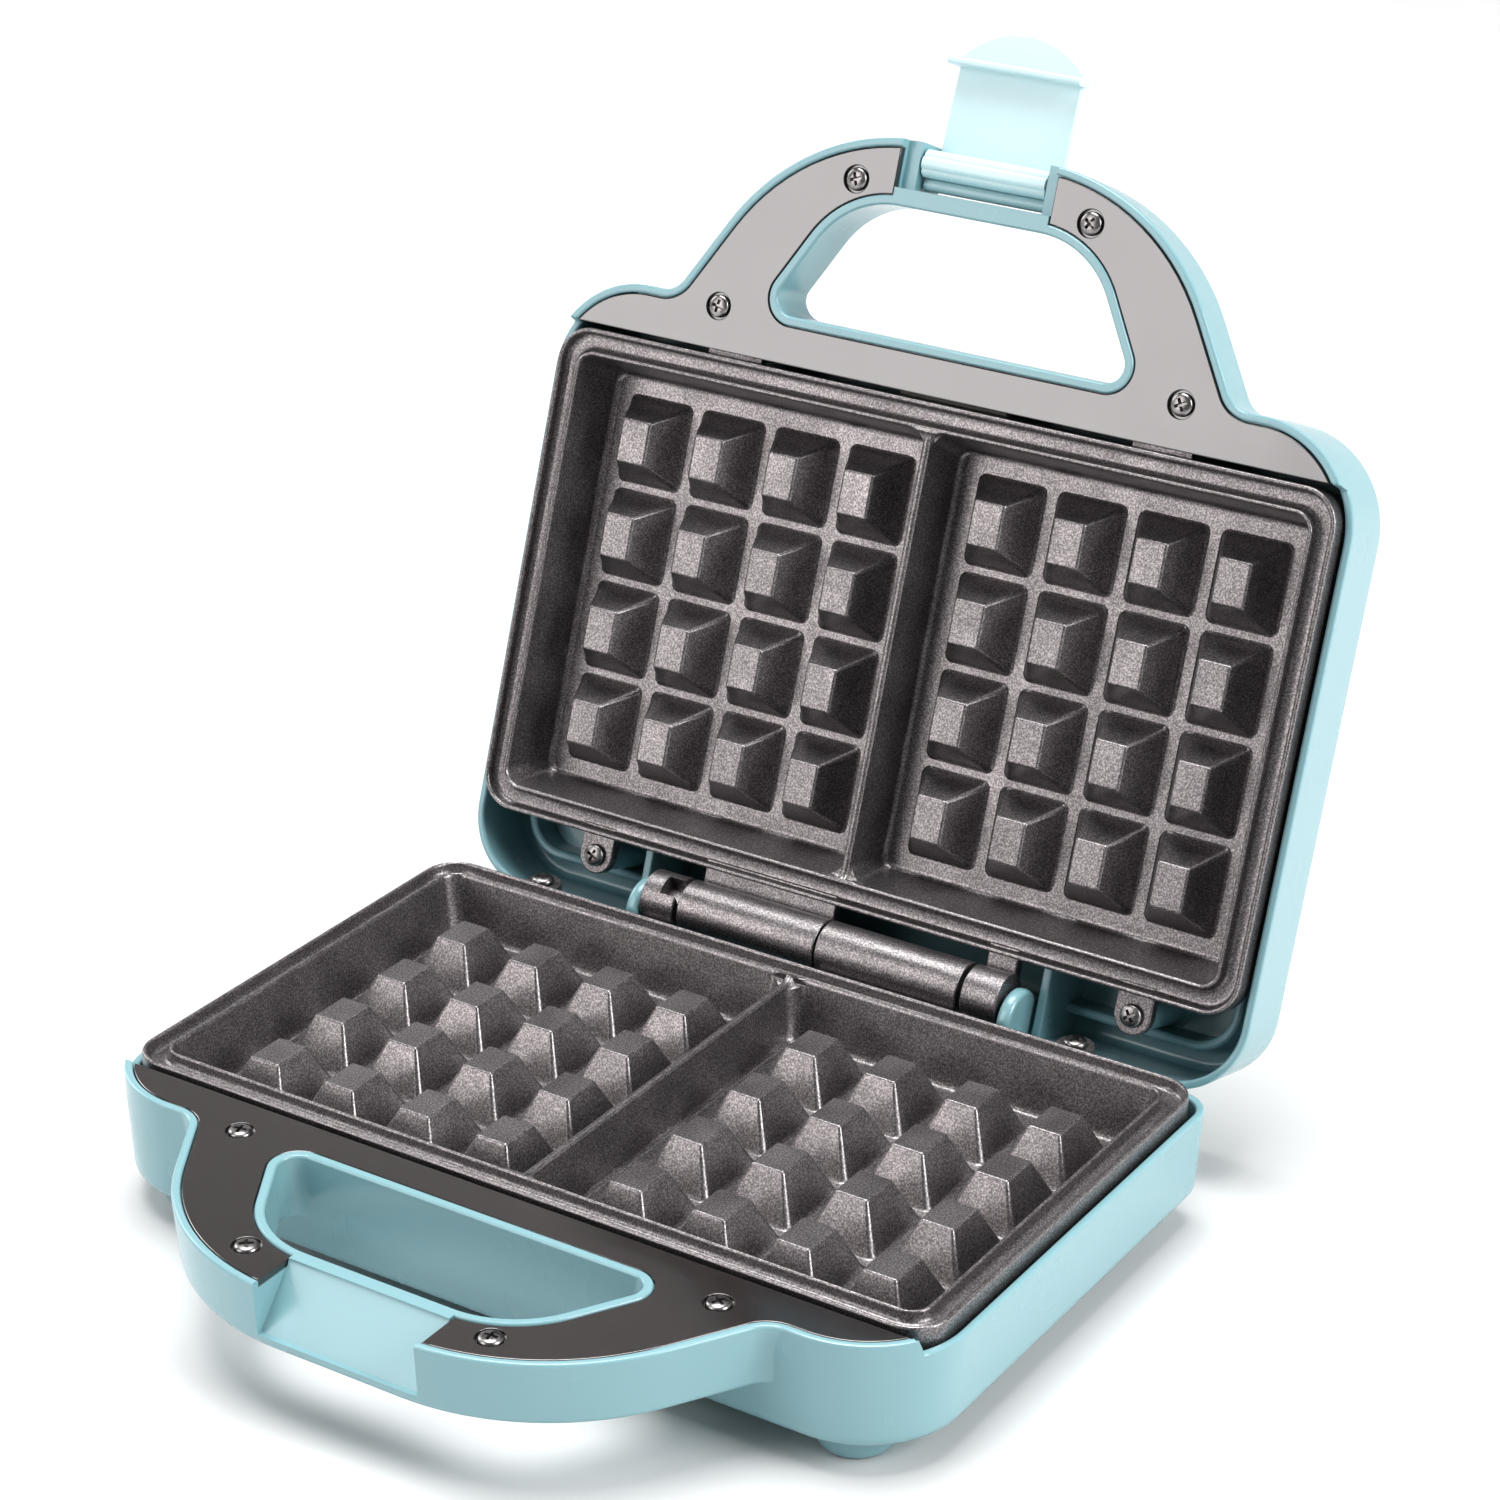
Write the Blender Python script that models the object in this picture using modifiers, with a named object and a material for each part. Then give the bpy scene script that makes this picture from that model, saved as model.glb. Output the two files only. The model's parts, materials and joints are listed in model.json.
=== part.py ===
"""Two-slice waffle maker: a base and a hinged lid, each a tub with a handle arch, and a handle latch.

Both halves are built in the same half frame: X across, -Y towards the handle, +Y towards the
hinge, +Z out of the cooking plate, with z = 0 at the tops of the waffle pyramids. The base frame
stands upright. The lid frame is the same frame turned over about Y, and then swung open about the
hinge axis. Lengths are in metres.
"""

import math

import bmesh
import bpy
from mathutils import Matrix

# ---- driving dimensions -------------------------------------------------------------------
GAP = 0.0003  # between neighbours that touch on the real object
ARC_STEP = math.radians(22.5)
WIDE_ARC_STEP = math.radians(11)
WIDE_ARC_R = 0.0300  # arcs from this radius up take the finer step

# stance: the base frame's place in the world
FOOT_DROP = 0.0300  # pyramid tops above the table
CENTRING = -0.0185  # puts the open object's box over the origin

# joints
HINGE_Y = 0.0737
HINGE_Z = 0.0045
LID_OPEN = math.radians(108.4)
LATCH_Y = -0.1195
LATCH_Z = -0.0030
LATCH_OPEN = math.radians(94)

# tub
WALL = 0.0023
TUB_X = 0.1120
TUB_FRONT = -0.0770
TUB_FRONT_R = 0.0260
BASE_REAR = 0.0660
BASE_REAR_R = 0.0090
LID_REAR = 0.0840
LID_REAR_R = 0.0195
RIM_Z = 0.0
HANDLE_RIM_Z = 0.0038
HANDLE_EDGE_Y = -0.0640  # the raised handle section starts here
TUB_BOTTOM = -0.0230
FLOOR_Z = TUB_BOTTOM + 0.0022
TUB_DRAFT = 0.0013
BOTTOM_EDGE = 0.0030

# handle arch
ARCH_BOTTOM = -0.0120
ARCH_DRAFT = 0.0014
ARCH_FLOOR = ARCH_BOTTOM + 0.0022
NECK_X = 0.0780  # where the arm leaves the shoulder
NECK_R = 0.0070
ARCH_X = 0.0495
ARCH_Y = -0.1250
ARCH_R = 0.0580  # stays over WIDE_ARC_R at every inset
GRIP_X, GRIP_Y = 0.0515, -0.0766  # corners of the finger opening
GRIP_R = 0.0045
GRIP_TOP_X = 0.0333
GRIP_TOP_Y = -0.1082
GRIP_TOP_R = 0.0238
RECESS_X = 0.0213
ARM_SKIN = 0.0042  # the arms' walls, with the ledge that the trim plate lies on
PILOT_BOTTOM = -0.0065

# trim plate
TRIM_INSET = 0.0024
TRIM_BOTTOM = 0.0019
TRIM_TOP = 0.0035
TRIM_SINK = 0.0026
TRIM_EDGE_Y = -0.0646
TRIM_SCREWS = ((0.0646, -0.0754), (0.0324, -0.1127))

# cooking plate
LIP_X, LIP_Y, LIP_R, LIP_Z = 0.1088, 0.0633, 0.0090, 0.0042
MOAT_Z = 0.0012
MOAT_X, MOAT_Y, MOAT_R = 0.1076, 0.0621, 0.0078
CREST_X, CREST_Y, CREST_R = 0.1034, 0.0575, 0.0052
CAVITY_OUT_X, CAVITY_Y, CAVITY_R = 0.1024, 0.0565, 0.0042
CAVITY_IN_X = 0.0008
CAVITY_INSET = 0.0034
RIDGE_INSET = 0.0021
CAVITY_Z = -0.0111
RIDGE_Z = 0.0032
UNDERSIDE_Z = -0.0131
BODY_X, BODY_Y, BODY_R = 0.1045, 0.0588, 0.0062
SKIRT_Z = -0.0036
PYRAMID_FIRST_X, PYRAMID_PITCH_X = 0.0185, 0.0220
PYRAMID_FIRST_Y, PYRAMID_PITCH_Y = -0.0369, 0.0246
PYRAMID_TOP = (0.0083, 0.0110)
PYRAMID_FOOT = (0.0179, 0.0216)
LUGS_X = (-0.0825, 0.0725)
LUG_Y, LUG_R = 0.0688, 0.00485
LUG_LOW, LUG_TOP = -0.0013, 0.0015
LUG_PILOT_BOTTOM = -0.0120
CREST_TOP = 0.0042
TAB_X = 0.0600
BARREL_R = 0.0069
LONG_BARREL = (0.0003, 0.0403)
SHORT_BARREL = (-0.0513, -0.0416)
HINGE_PIN_R, HINGE_BORE_R = 0.0020, 0.0023
EAR_IN, EAR_OUT, EAR_R = 0.0519, 0.0556, 0.0078
EAR_Z = 0.0004
POST_R, PILOT_R = 0.0042, 0.0018

# latch and its notch in the lid
CHEEK_X, CHEEK_Z = 0.0176, 0.0004
LATCH_WALL_Y = -0.1126
LATCH_HALF, LEDGE_HALF = 0.0168, 0.0183
LEDGE_LOW, LEDGE_TOP = 0.0249, 0.0269
TAB_HEIGHT, TAB_R = 0.0081, 0.0229

# lid only
NOTCH_X, NOTCH_Z = 0.0568, -0.0100
RIB_INSET, RIB_TOP = 0.0085, -0.0130

# things inside
ELEMENT_TAIL_X, ELEMENT_TAIL_Y = 0.0140, 0.0560
ELEMENT_R = 0.0030
ELEMENT_Z = UNDERSIDE_Z - GAP - ELEMENT_R
ELEMENT_X, ELEMENT_Y = 0.0780, 0.0380
SHIELD_X, SHIELD_Y = 0.0960, 0.0500
SHIELD_LOW, SHIELD_TOP = -0.0204, -0.0199
FOOT_X, FOOT_FRONT_Y, FOOT_REAR_Y, FOOT_R = 0.0900, -0.0600, 0.0545, 0.0092
FEET = [(x, y) for y in (FOOT_FRONT_Y, FOOT_REAR_Y) for x in (-FOOT_X, FOOT_X)]
LENS_X, LENS_Y = 0.0100, -0.0672
INLET_X, INLET_Z = 0.0455, -0.0140
BULGE_X, BULGE_Y, BULGE_Z = 0.0920, 0.0730, -0.0020
INLET_FLANGE_R, INLET_NECK_R, INLET_BORE_R = 0.0052, 0.0043, 0.0030


# ---- scene, collections and materials -----------------------------------------------------
for old in list(bpy.data.objects):
    bpy.data.objects.remove(old, do_unlink=True)

parts = bpy.data.collections.new("waffle_maker")
helpers = bpy.data.collections.new("cutters")
bpy.context.scene.collection.children.link(parts)
bpy.context.scene.collection.children.link(helpers)
helpers.hide_render = True


def material(name, colour, roughness, metallic=0.0):
    made = bpy.data.materials.new(name)
    made.use_nodes = True
    shader = made.node_tree.nodes["Principled BSDF"]
    shader.inputs["Base Color"].default_value = (*colour, 1.0)
    shader.inputs["Roughness"].default_value = roughness
    shader.inputs["Metallic"].default_value = metallic
    return made


SHELL = material("turquoise_shell", (0.39, 0.65, 0.68), 0.25)
TRIM = material("black_trim", (0.015, 0.014, 0.014), 0.12)
COATING = material("nonstick_coating", (0.05, 0.047, 0.047), 0.5, 0.3)
SCREW_BLACK = material("black_screw", (0.02, 0.02, 0.02), 0.35, 0.7)
STEEL = material("steel", (0.55, 0.55, 0.56), 0.3, 1.0)
SHEATH = material("element_sheath", (0.3, 0.29, 0.28), 0.45, 1.0)
SHEET = material("aluminised_sheet", (0.7, 0.71, 0.72), 0.3, 1.0)
CERAMIC = material("ceramic", (0.85, 0.83, 0.78), 0.5)
RUBBER = material("black_rubber", (0.02, 0.02, 0.02), 0.7)
RED_LENS = material("red_lens", (0.75, 0.03, 0.02), 0.1)
GREEN_LENS = material("green_lens", (0.05, 0.55, 0.12), 0.1)
LAMP = material("neon_lamp", (0.8, 0.75, 0.7), 0.1)
HOLDER = material("lamp_holder_plastic", (0.8, 0.8, 0.76), 0.5)


# ---- frames -------------------------------------------------------------------------------
def empty(name, parent, location, rotation=(0.0, 0.0, 0.0)):
    made = bpy.data.objects.new(name, None)
    parts.objects.link(made)
    made.parent = parent
    made.location = location
    made.rotation_euler = rotation
    return made


BASE = empty("base_frame", None, (0, CENTRING, FOOT_DROP))
LID_HINGE = empty("lid_hinge_axis", BASE, (0, HINGE_Y, HINGE_Z), (-LID_OPEN, 0, 0))
LID = empty("lid_frame", LID_HINGE, (0, -HINGE_Y, HINGE_Z), (0, math.pi, 0))
LATCH = empty("latch_pivot_axis", LID, (0, LATCH_Y, LATCH_Z), (LATCH_OPEN, 0, 0))


# ---- making and joining shapes ------------------------------------------------------------
def place(obj, frame, finish=None):
    """A finished part goes in the object's collection, and a shape with no finish is a helper."""
    if finish:
        parts.objects.link(obj)
        obj.data.materials.append(finish)
    else:
        helpers.objects.link(obj)
        obj.hide_render = True
        obj.display_type = "WIRE"
    obj.parent = frame
    return obj


def from_bmesh(name, work, frame, finish=None):
    bmesh.ops.recalc_face_normals(work, faces=work.faces)
    mesh = bpy.data.meshes.new(name)
    work.to_mesh(mesh)
    work.free()
    mesh.shade_smooth()
    mesh.set_sharp_from_angle(angle=math.radians(30))
    return place(bpy.data.objects.new(name, mesh), frame, finish)


def inset(corners, distance):
    """The corners of an outline moved inwards; the outline runs anticlockwise."""
    moved = []
    for index, (x, y, radius) in enumerate(corners):
        before = corners[index - 1]
        after = corners[(index + 1) % len(corners)]
        back = math.atan2(y - before[1], x - before[0])
        ahead = math.atan2(after[1] - y, after[0] - x)
        turn = (ahead - back + math.pi) % (2 * math.pi) - math.pi
        reach = distance / math.cos(turn / 2)
        inward = back + turn / 2 + math.pi / 2
        rounder = radius - distance * math.copysign(1.0, turn) if radius else 0.0
        moved.append((x + reach * math.cos(inward), y + reach * math.sin(inward), max(rounder, 0.0)))
    return moved


def rounded(corners):
    """Points of an outline whose corners (x, y, radius) are rounded by arcs."""
    points = []
    for index, (x, y, radius) in enumerate(corners):
        before = corners[index - 1]
        after = corners[(index + 1) % len(corners)]
        back = math.atan2(y - before[1], x - before[0])
        ahead = math.atan2(after[1] - y, after[0] - x)
        turn = (ahead - back + math.pi) % (2 * math.pi) - math.pi
        if radius <= 0.0 or abs(turn) < 1e-4:
            points.append((x, y))
            continue
        side = math.copysign(1.0, turn)
        tangent = radius * math.tan(abs(turn) / 2)
        centre_x = x - tangent * math.cos(back) - side * radius * math.sin(back)
        centre_y = y - tangent * math.sin(back) + side * radius * math.cos(back)
        steps = max(1, round(abs(turn) / (WIDE_ARC_STEP if radius > WIDE_ARC_R else ARC_STEP)))
        for step in range(steps + 1):
            heading = back + turn * step / steps
            out_x = side * radius * math.sin(heading)
            out_y = side * radius * math.cos(heading)
            points.append((centre_x + out_x, centre_y - out_y))
    return points


def mirrored(half):
    """An outline from its half at x > 0, which runs anticlockwise from the front to the rear."""
    return half + [(-x, y, radius) for x, y, radius in reversed(half)]


def rectangle(x, y, radius=0.0, centre=(0.0, 0.0)):
    half = [(x, -y, radius), (x, y, radius)]
    return [(cx + centre[0], cy + centre[1], r) for cx, cy, r in mirrored(half)]


def loft(name, sections, frame, finish=None):
    """A solid through level sections [(points, z), ...] with equal numbers of points, bottom first."""
    work = bmesh.new()
    rings = [[work.verts.new((x, y, z)) for x, y in points] for points, z in sections]
    work.faces.new(reversed(rings[0]))
    work.faces.new(rings[-1])
    for low, high in zip(rings, rings[1:]):
        for index in range(len(low)):
            work.faces.new((low[index - 1], low[index], high[index], high[index - 1]))
    return from_bmesh(name, work, frame, finish)


def prism(name, corners, low, high, frame, finish=None, draft=0.0):
    """An upright solid on a rounded outline, narrower at the bottom by the draft."""
    return loft(name, [(rounded(inset(corners, draft)), low), (rounded(corners), high)], frame, finish)


def across(name, outline, x0, x1, frame, finish=None):
    """A solid with its outline (y, z) in the side view, from x0 to x1."""
    work = bmesh.new()
    ends = [[work.verts.new((x, y, z)) for y, z in outline] for x in (x0, x1)]
    work.faces.new(ends[0])
    work.faces.new(reversed(ends[1]))
    for index in range(len(outline)):
        work.faces.new((ends[0][index - 1], ends[1][index - 1], ends[1][index], ends[0][index]))
    return from_bmesh(name, work, frame, finish)


def box(name, low, high, frame, finish=None):
    work = bmesh.new()
    bmesh.ops.create_cube(work, size=1.0)
    size = [b - a for a, b in zip(low, high)]
    middle = [(a + b) / 2 for a, b in zip(low, high)]
    place = Matrix.Translation(middle) @ Matrix.Diagonal((*size, 1.0))
    bmesh.ops.transform(work, matrix=place, verts=work.verts)
    return from_bmesh(name, work, frame, finish)


def rod(name, start, end, radius, axis, frame, finish=None, sides=20):
    """A cylinder along X, Y or Z from start to end on that axis through the other two coordinates."""
    work = bmesh.new()
    length = math.dist(start, end)
    bmesh.ops.create_cone(
        work, cap_ends=True, segments=sides, radius1=radius, radius2=radius, depth=length
    )
    turn = {
        "X": Matrix.Rotation(math.pi / 2, 4, "Y"),
        "Y": Matrix.Rotation(math.pi / 2, 4, "X"),
        "Z": Matrix(),
    }
    middle = [(a + b) / 2 for a, b in zip(start, end)]
    bmesh.ops.transform(work, matrix=Matrix.Translation(middle) @ turn[axis], verts=work.verts)
    return from_bmesh(name, work, frame, finish)


def turned(name, profile, place_at, frame, finish=None, steps=16, rotation=(0.0, 0.0, 0.0)):
    """A turned solid: the profile (radius, z) runs down the outer side from top to bottom."""
    mesh = bpy.data.meshes.new(name)
    edges = [(index, index + 1) for index in range(len(profile) - 1)]
    mesh.from_pydata([(radius, 0.0, z) for radius, z in profile], edges, [])
    made = place(bpy.data.objects.new(name, mesh), frame, finish)
    made.location = place_at
    made.rotation_euler = rotation
    spin = made.modifiers.new("turn", "SCREW")
    spin.angle = 2 * math.pi
    spin.steps = steps
    spin.render_steps = steps
    spin.use_merge_vertices = True
    spin.merge_threshold = 0.00001
    spin.use_smooth_shade = True
    return made


def combine(obj, operation, others):
    for other in others:
        made = obj.modifiers.new(other.name, "BOOLEAN")
        made.operation = operation
        made.solver = "EXACT"
        made.object = other
    return obj


def cut(obj, *cutters):
    return combine(obj, "DIFFERENCE", cutters)


def join(obj, *others):
    return combine(obj, "UNION", others)


# ---- outlines shared by the two halves ----------------------------------------------------
def tub_outline(rear, rear_radius):
    return mirrored([(TUB_X, TUB_FRONT, TUB_FRONT_R), (TUB_X, rear, rear_radius)])


BULGE = mirrored(
    [(BULGE_X + 0.005, 0.0600, 0.0), (BULGE_X + 0.005, BASE_REAR, 0.0), (BULGE_X, BULGE_Y, 0.0)]
)
ARCH = mirrored([(ARCH_X, ARCH_Y, ARCH_R), (NECK_X, TUB_FRONT, 0.0), (NECK_X, TUB_FRONT + 0.0062, 0.0)])


def screw_spots(right_half):
    return [(side * x, y) for side in (-1, 1) for x, y in right_half]


def grip_outline():
    return mirrored([(GRIP_TOP_X, GRIP_TOP_Y, GRIP_TOP_R), (GRIP_X, GRIP_Y, GRIP_R)])


def handle_outline():
    """The whole handle section in plan: shoulders and arch, back to the cooking plate."""
    half = [
        (ARCH_X, ARCH_Y, ARCH_R),
        (NECK_X, TUB_FRONT, NECK_R),
        (TUB_X, TUB_FRONT, TUB_FRONT_R),
        (TUB_X, HANDLE_EDGE_Y + 0.030, 0.0),
    ]
    return mirrored(half)


# ---- housings -----------------------------------------------------------------------------
def housing(name, frame, rear, rear_radius):
    """A tub with a raised handle section and a hollow handle arch, open at the top."""
    outline = tub_outline(rear, rear_radius)
    sections = [
        (rounded(inset(outline, TUB_DRAFT + 0.0022)), TUB_BOTTOM),
        (rounded(inset(outline, TUB_DRAFT)), TUB_BOTTOM + BOTTOM_EDGE),
        (rounded(outline), HANDLE_RIM_Z),
    ]
    shell = loft(name, sections, frame, SHELL)
    tag = name + "_"
    if rear == BASE_REAR:
        join(shell, prism(tag + "bulge", BULGE, TUB_BOTTOM, BULGE_Z, frame, draft=0.0010))

    arch = prism(tag + "arch", ARCH, ARCH_BOTTOM, HANDLE_RIM_Z, frame, draft=ARCH_DRAFT)
    join(shell, arch)
    for side in (-1, 1):
        join(shell, neck_fillet(tag, side, frame))
    grip = prism(tag + "grip", grip_outline(), -0.050, 0.050, frame)
    lowered = box(tag + "rim", (-0.2, HANDLE_EDGE_Y, RIM_Z), (0.2, 0.2, 0.05), frame)
    cavity = prism(tag + "cavity", inset(outline, WALL), FLOOR_Z, 0.05, frame)
    keep = box(tag + "cavity_front", (-0.2, -0.2, -0.1), (0.2, HANDLE_EDGE_Y - 0.0010, 0.1), frame)
    cut(cavity, keep)
    front = prism(tag + "front_cavity", inset(outline, 0.0042), FLOOR_Z, TRIM_BOTTOM + 0.001, frame)
    inside = inset(handle_outline(), TRIM_INSET - 0.0002)
    pocket = prism(tag + "pocket", inside, TRIM_BOTTOM - 0.0001, 0.05, frame)
    rim = prism(tag + "grip_rim", inset(grip_outline(), -TRIM_INSET), -0.050, 0.050, frame)
    half = RECESS_X + 0.0002
    ends = box(tag + "recess_ends", (-half, -0.2, -0.1), (half, GRIP_TOP_Y, 0.1), frame)
    cut(pocket, rim, ends)
    cut(shell, grip, lowered, cavity, front, pocket)
    if rear == BASE_REAR:
        cut(shell, prism(tag + "bulge_cavity", inset(BULGE, WALL), FLOOR_Z, 0.05, frame))
    arms = prism(tag + "arms", inset(ARCH, ARM_SKIN), ARCH_FLOOR, TRIM_BOTTOM + 0.001, frame)
    around_grip = prism(tag + "around_grip", inset(grip_outline(), -ARM_SKIN), -0.050, 0.050, frame)
    middle_x = RECESS_X + ARM_SKIN
    cut(arms, around_grip, box(tag + "arm_ends", (-middle_x, -0.2, -0.1), (middle_x, 0.2, 0.1), frame))
    cut(shell, arms)
    for index, (x, y) in enumerate(screw_spots(TRIM_SCREWS)):
        top = TRIM_BOTTOM - GAP
        low = ARCH_FLOOR - 0.001
        boss = rod(f"{tag}boss_{index}", (x, y, low), (x, y, top), 0.0034, "Z", frame, sides=12)
        pilot = rod(f"{tag}pilot_{index}", (x, y, PILOT_BOTTOM), (x, y, 0.02), 0.0018, "Z", frame, sides=12)
        cut(join(shell, boss), pilot)
    return shell


def neck_fillet(tag, side, frame):
    """The small concave web that rounds the corner between the shoulder and the arm."""
    arm = math.atan2(ARCH_Y - TUB_FRONT, ARCH_X - NECK_X)
    turn = math.pi + arm
    reach = NECK_R * math.tan(abs(turn) / 2)
    a = (NECK_X + reach, TUB_FRONT)
    b = (NECK_X + reach * math.cos(arm), TUB_FRONT + reach * math.sin(arm))
    centre = (NECK_X + reach, TUB_FRONT - NECK_R)
    steps = 4
    start = math.atan2(a[1] - centre[1], a[0] - centre[0])
    end = math.atan2(b[1] - centre[1], b[0] - centre[0])
    arc = [
        (
            centre[0] + NECK_R * math.cos(start + (end - start) * k / steps),
            centre[1] + NECK_R * math.sin(start + (end - start) * k / steps),
        )
        for k in range(steps + 1)
    ]
    points = [(NECK_X + reach, TUB_FRONT + 0.003), (NECK_X - 0.006, TUB_FRONT + 0.003)]
    points += [(b[0] - 0.004, b[1] + 0.001)]
    points = points + arc[::-1]
    if side < 0:
        points = [(-x, y) for x, y in reversed(points)]
    return loft(f"{tag}neck_{side}", [(points, ARCH_BOTTOM), (points, HANDLE_RIM_Z)], frame)


def rear_bosses(shell, tag, frame):
    """Posts that the plate's two rear lugs are screwed to."""
    for x in LUGS_X:
        foot_at = (x, LUG_Y, FLOOR_Z - 0.001)
        head_at = (x, LUG_Y, LUG_LOW - GAP)
        post = rod(f"{tag}post_{x}", foot_at, head_at, POST_R, "Z", frame, sides=14)
        pilot_at = (x, LUG_Y, LUG_PILOT_BOTTOM)
        pilot = rod(f"{tag}pilot_{x}", pilot_at, (x, LUG_Y, 0.01), PILOT_R, "Z", frame, sides=12)
        cut(join(shell, post), pilot)


def base_details(shell):
    """Hinge ears, the recess that the latch lies in, and the holes for feet and cord inlet."""
    tag = "base_detail_"
    rear_bosses(shell, tag, BASE)
    relief_x = EAR_IN + 0.0010
    left, right = (-relief_x, HINGE_Y, HINGE_Z), (relief_x, HINGE_Y, HINGE_Z)
    cut(shell, rod(tag + "relief", left, right, BARREL_R + 0.0007, "X", BASE, sides=20))
    for side in (-1, 1):
        inner, outer = sorted((side * EAR_IN, side * EAR_OUT))
        rib = [(0.0620, -0.0210), (0.0716, -0.0210), (0.0805, 0.0015), (0.0790, 0.0039)]
        rib += [(0.0700, 0.0039), (0.0620, -0.0070)]
        left, right = (inner, HINGE_Y, EAR_Z), (outer, HINGE_Y, EAR_Z)
        ear = rod(f"{tag}ear_{side}", left, right, EAR_R, "X", BASE, sides=20)
        join(shell, across(f"{tag}ear_rib_{side}", rib, inner + 0.0002, outer - 0.0002, BASE), ear)
    bore_x = EAR_OUT - 0.0003
    left, right = (-bore_x, HINGE_Y, HINGE_Z), (bore_x, HINGE_Y, HINGE_Z)
    bore = rod(tag + "bore", left, right, HINGE_BORE_R, "X", BASE, sides=12)
    slope = [(-0.135, 0.010), (-0.1125, 0.010), (-0.1125, 0.0022)]
    slope += [(-0.1215, -0.0083), (-0.1221, -0.0093), (-0.135, -0.0093)]
    recess = across(tag + "recess", slope, -RECESS_X, RECESS_X, BASE)
    inside, outside = (INLET_X, 0.066, INLET_Z), (INLET_X, 0.080, INLET_Z)
    inlet = rod(tag + "inlet", inside, outside, INLET_NECK_R + GAP, "Y", BASE, sides=16)
    cut(shell, bore, recess, inlet)
    for index, (x, y) in enumerate(FEET):
        low, top = (x, y, -0.03), (x, y, -0.018)
        cut(shell, rod(f"{tag}foot_hole_{index}", low, top, 0.0030, "Z", BASE, sides=12))


def lid_details(shell):
    """Hinge notch, inner rib, latch notch with its pin bore, and the holes for the lenses."""
    tag = "lid_detail_"
    rear_bosses(shell, tag, LID)
    outline = tub_outline(LID_REAR, LID_REAR_R)
    rib = prism(tag + "rib", inset(outline, RIB_INSET), FLOOR_Z - 0.001, RIB_TOP, LID)
    hollow = prism(tag + "rib_hollow", inset(outline, RIB_INSET + 0.0015), -0.05, 0.05, LID)
    ahead = box(tag + "rib_ahead", (-0.2, -0.2, -0.1), (0.2, 0.0600, 0.1), LID)
    join(shell, cut(rib, hollow, ahead))
    notch = box(tag + "notch", (-NOTCH_X, 0.0640, NOTCH_Z), (NOTCH_X, 0.0950, 0.05), LID)
    latch_gap = box(tag + "latch_gap", (-CHEEK_X, -0.2, -0.05), (CHEEK_X, LATCH_WALL_Y, 0.05), LID)
    cheek_top = box(tag + "cheek_top", (-RECESS_X, -0.2, CHEEK_Z), (RECESS_X, LATCH_WALL_Y, 0.05), LID)
    bore_x = RECESS_X - 0.0002
    left, right = (-bore_x, LATCH_Y, LATCH_Z), (bore_x, LATCH_Y, LATCH_Z)
    bore = rod(tag + "pin_bore", left, right, 0.0018, "X", LID, sides=12)
    cut(shell, notch, latch_gap, cheek_top, bore)
    for side in (-1, 1):
        x = side * LENS_X
        low, top = (x, LENS_Y, -0.03), (x, LENS_Y, -0.018)
        cut(shell, rod(f"{tag}lens_hole_{side}", low, top, 0.0031, "Z", LID, sides=12))


# ---- trim plates and screws ---------------------------------------------------------------
def trim_plate(name, frame):
    plate = prism(name, inset(handle_outline(), TRIM_INSET), TRIM_BOTTOM, TRIM_TOP, frame, TRIM)
    tag = name + "_"
    behind = box(tag + "edge", (-0.2, TRIM_EDGE_Y, -0.05), (0.2, 0.2, 0.05), frame)
    grip = prism(tag + "grip", inset(grip_outline(), -TRIM_INSET - 0.0001), -0.05, 0.05, frame)
    half_gap = RECESS_X + GAP
    middle = box(tag + "middle", (-half_gap, -0.2, -0.05), (half_gap, -0.1050, 0.05), frame)
    cut(plate, behind, grip, middle)
    for index, (x, y) in enumerate(screw_spots(TRIM_SCREWS)):
        sink = rod(f"{tag}sink_{index}", (x, y, TRIM_SINK), (x, y, 0.02), 0.0034, "Z", frame, sides=16)
        hole = rod(f"{tag}hole_{index}", (x, y, -0.02), (x, y, 0.02), 0.0018, "Z", frame, sides=12)
        cut(plate, sink, hole)
    return plate


def screw(name, x, y, seat, length, frame):
    """A pan-head screw whose head sits GAP above the seat."""
    low = seat + GAP
    profile = [(0.0, low + 0.0011), (0.0022, low + 0.0010), (0.0029, low + 0.0003), (0.0029, low)]
    profile += [(0.0014, low), (0.0014, low - length), (0.0, low - length)]
    return turned(name, profile, (x, y, 0), frame, SCREW_BLACK, steps=12)


# ---- cooking plates -----------------------------------------------------------------------
def pyramid(name, x, y, frame):
    """A waffle pyramid with its foot sunk into the cavity floor."""
    sink = 0.0010
    grow = [(b + (b - t) * sink / -CAVITY_Z) / 2 for t, b in zip(PYRAMID_TOP, PYRAMID_FOOT)]
    foot = rectangle(*grow, centre=(x, y))
    top = rectangle(PYRAMID_TOP[0] / 2, PYRAMID_TOP[1] / 2, centre=(x, y))
    return loft(name, [(rounded(foot), CAVITY_Z - sink), (rounded(top), 0.0)], frame)


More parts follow.
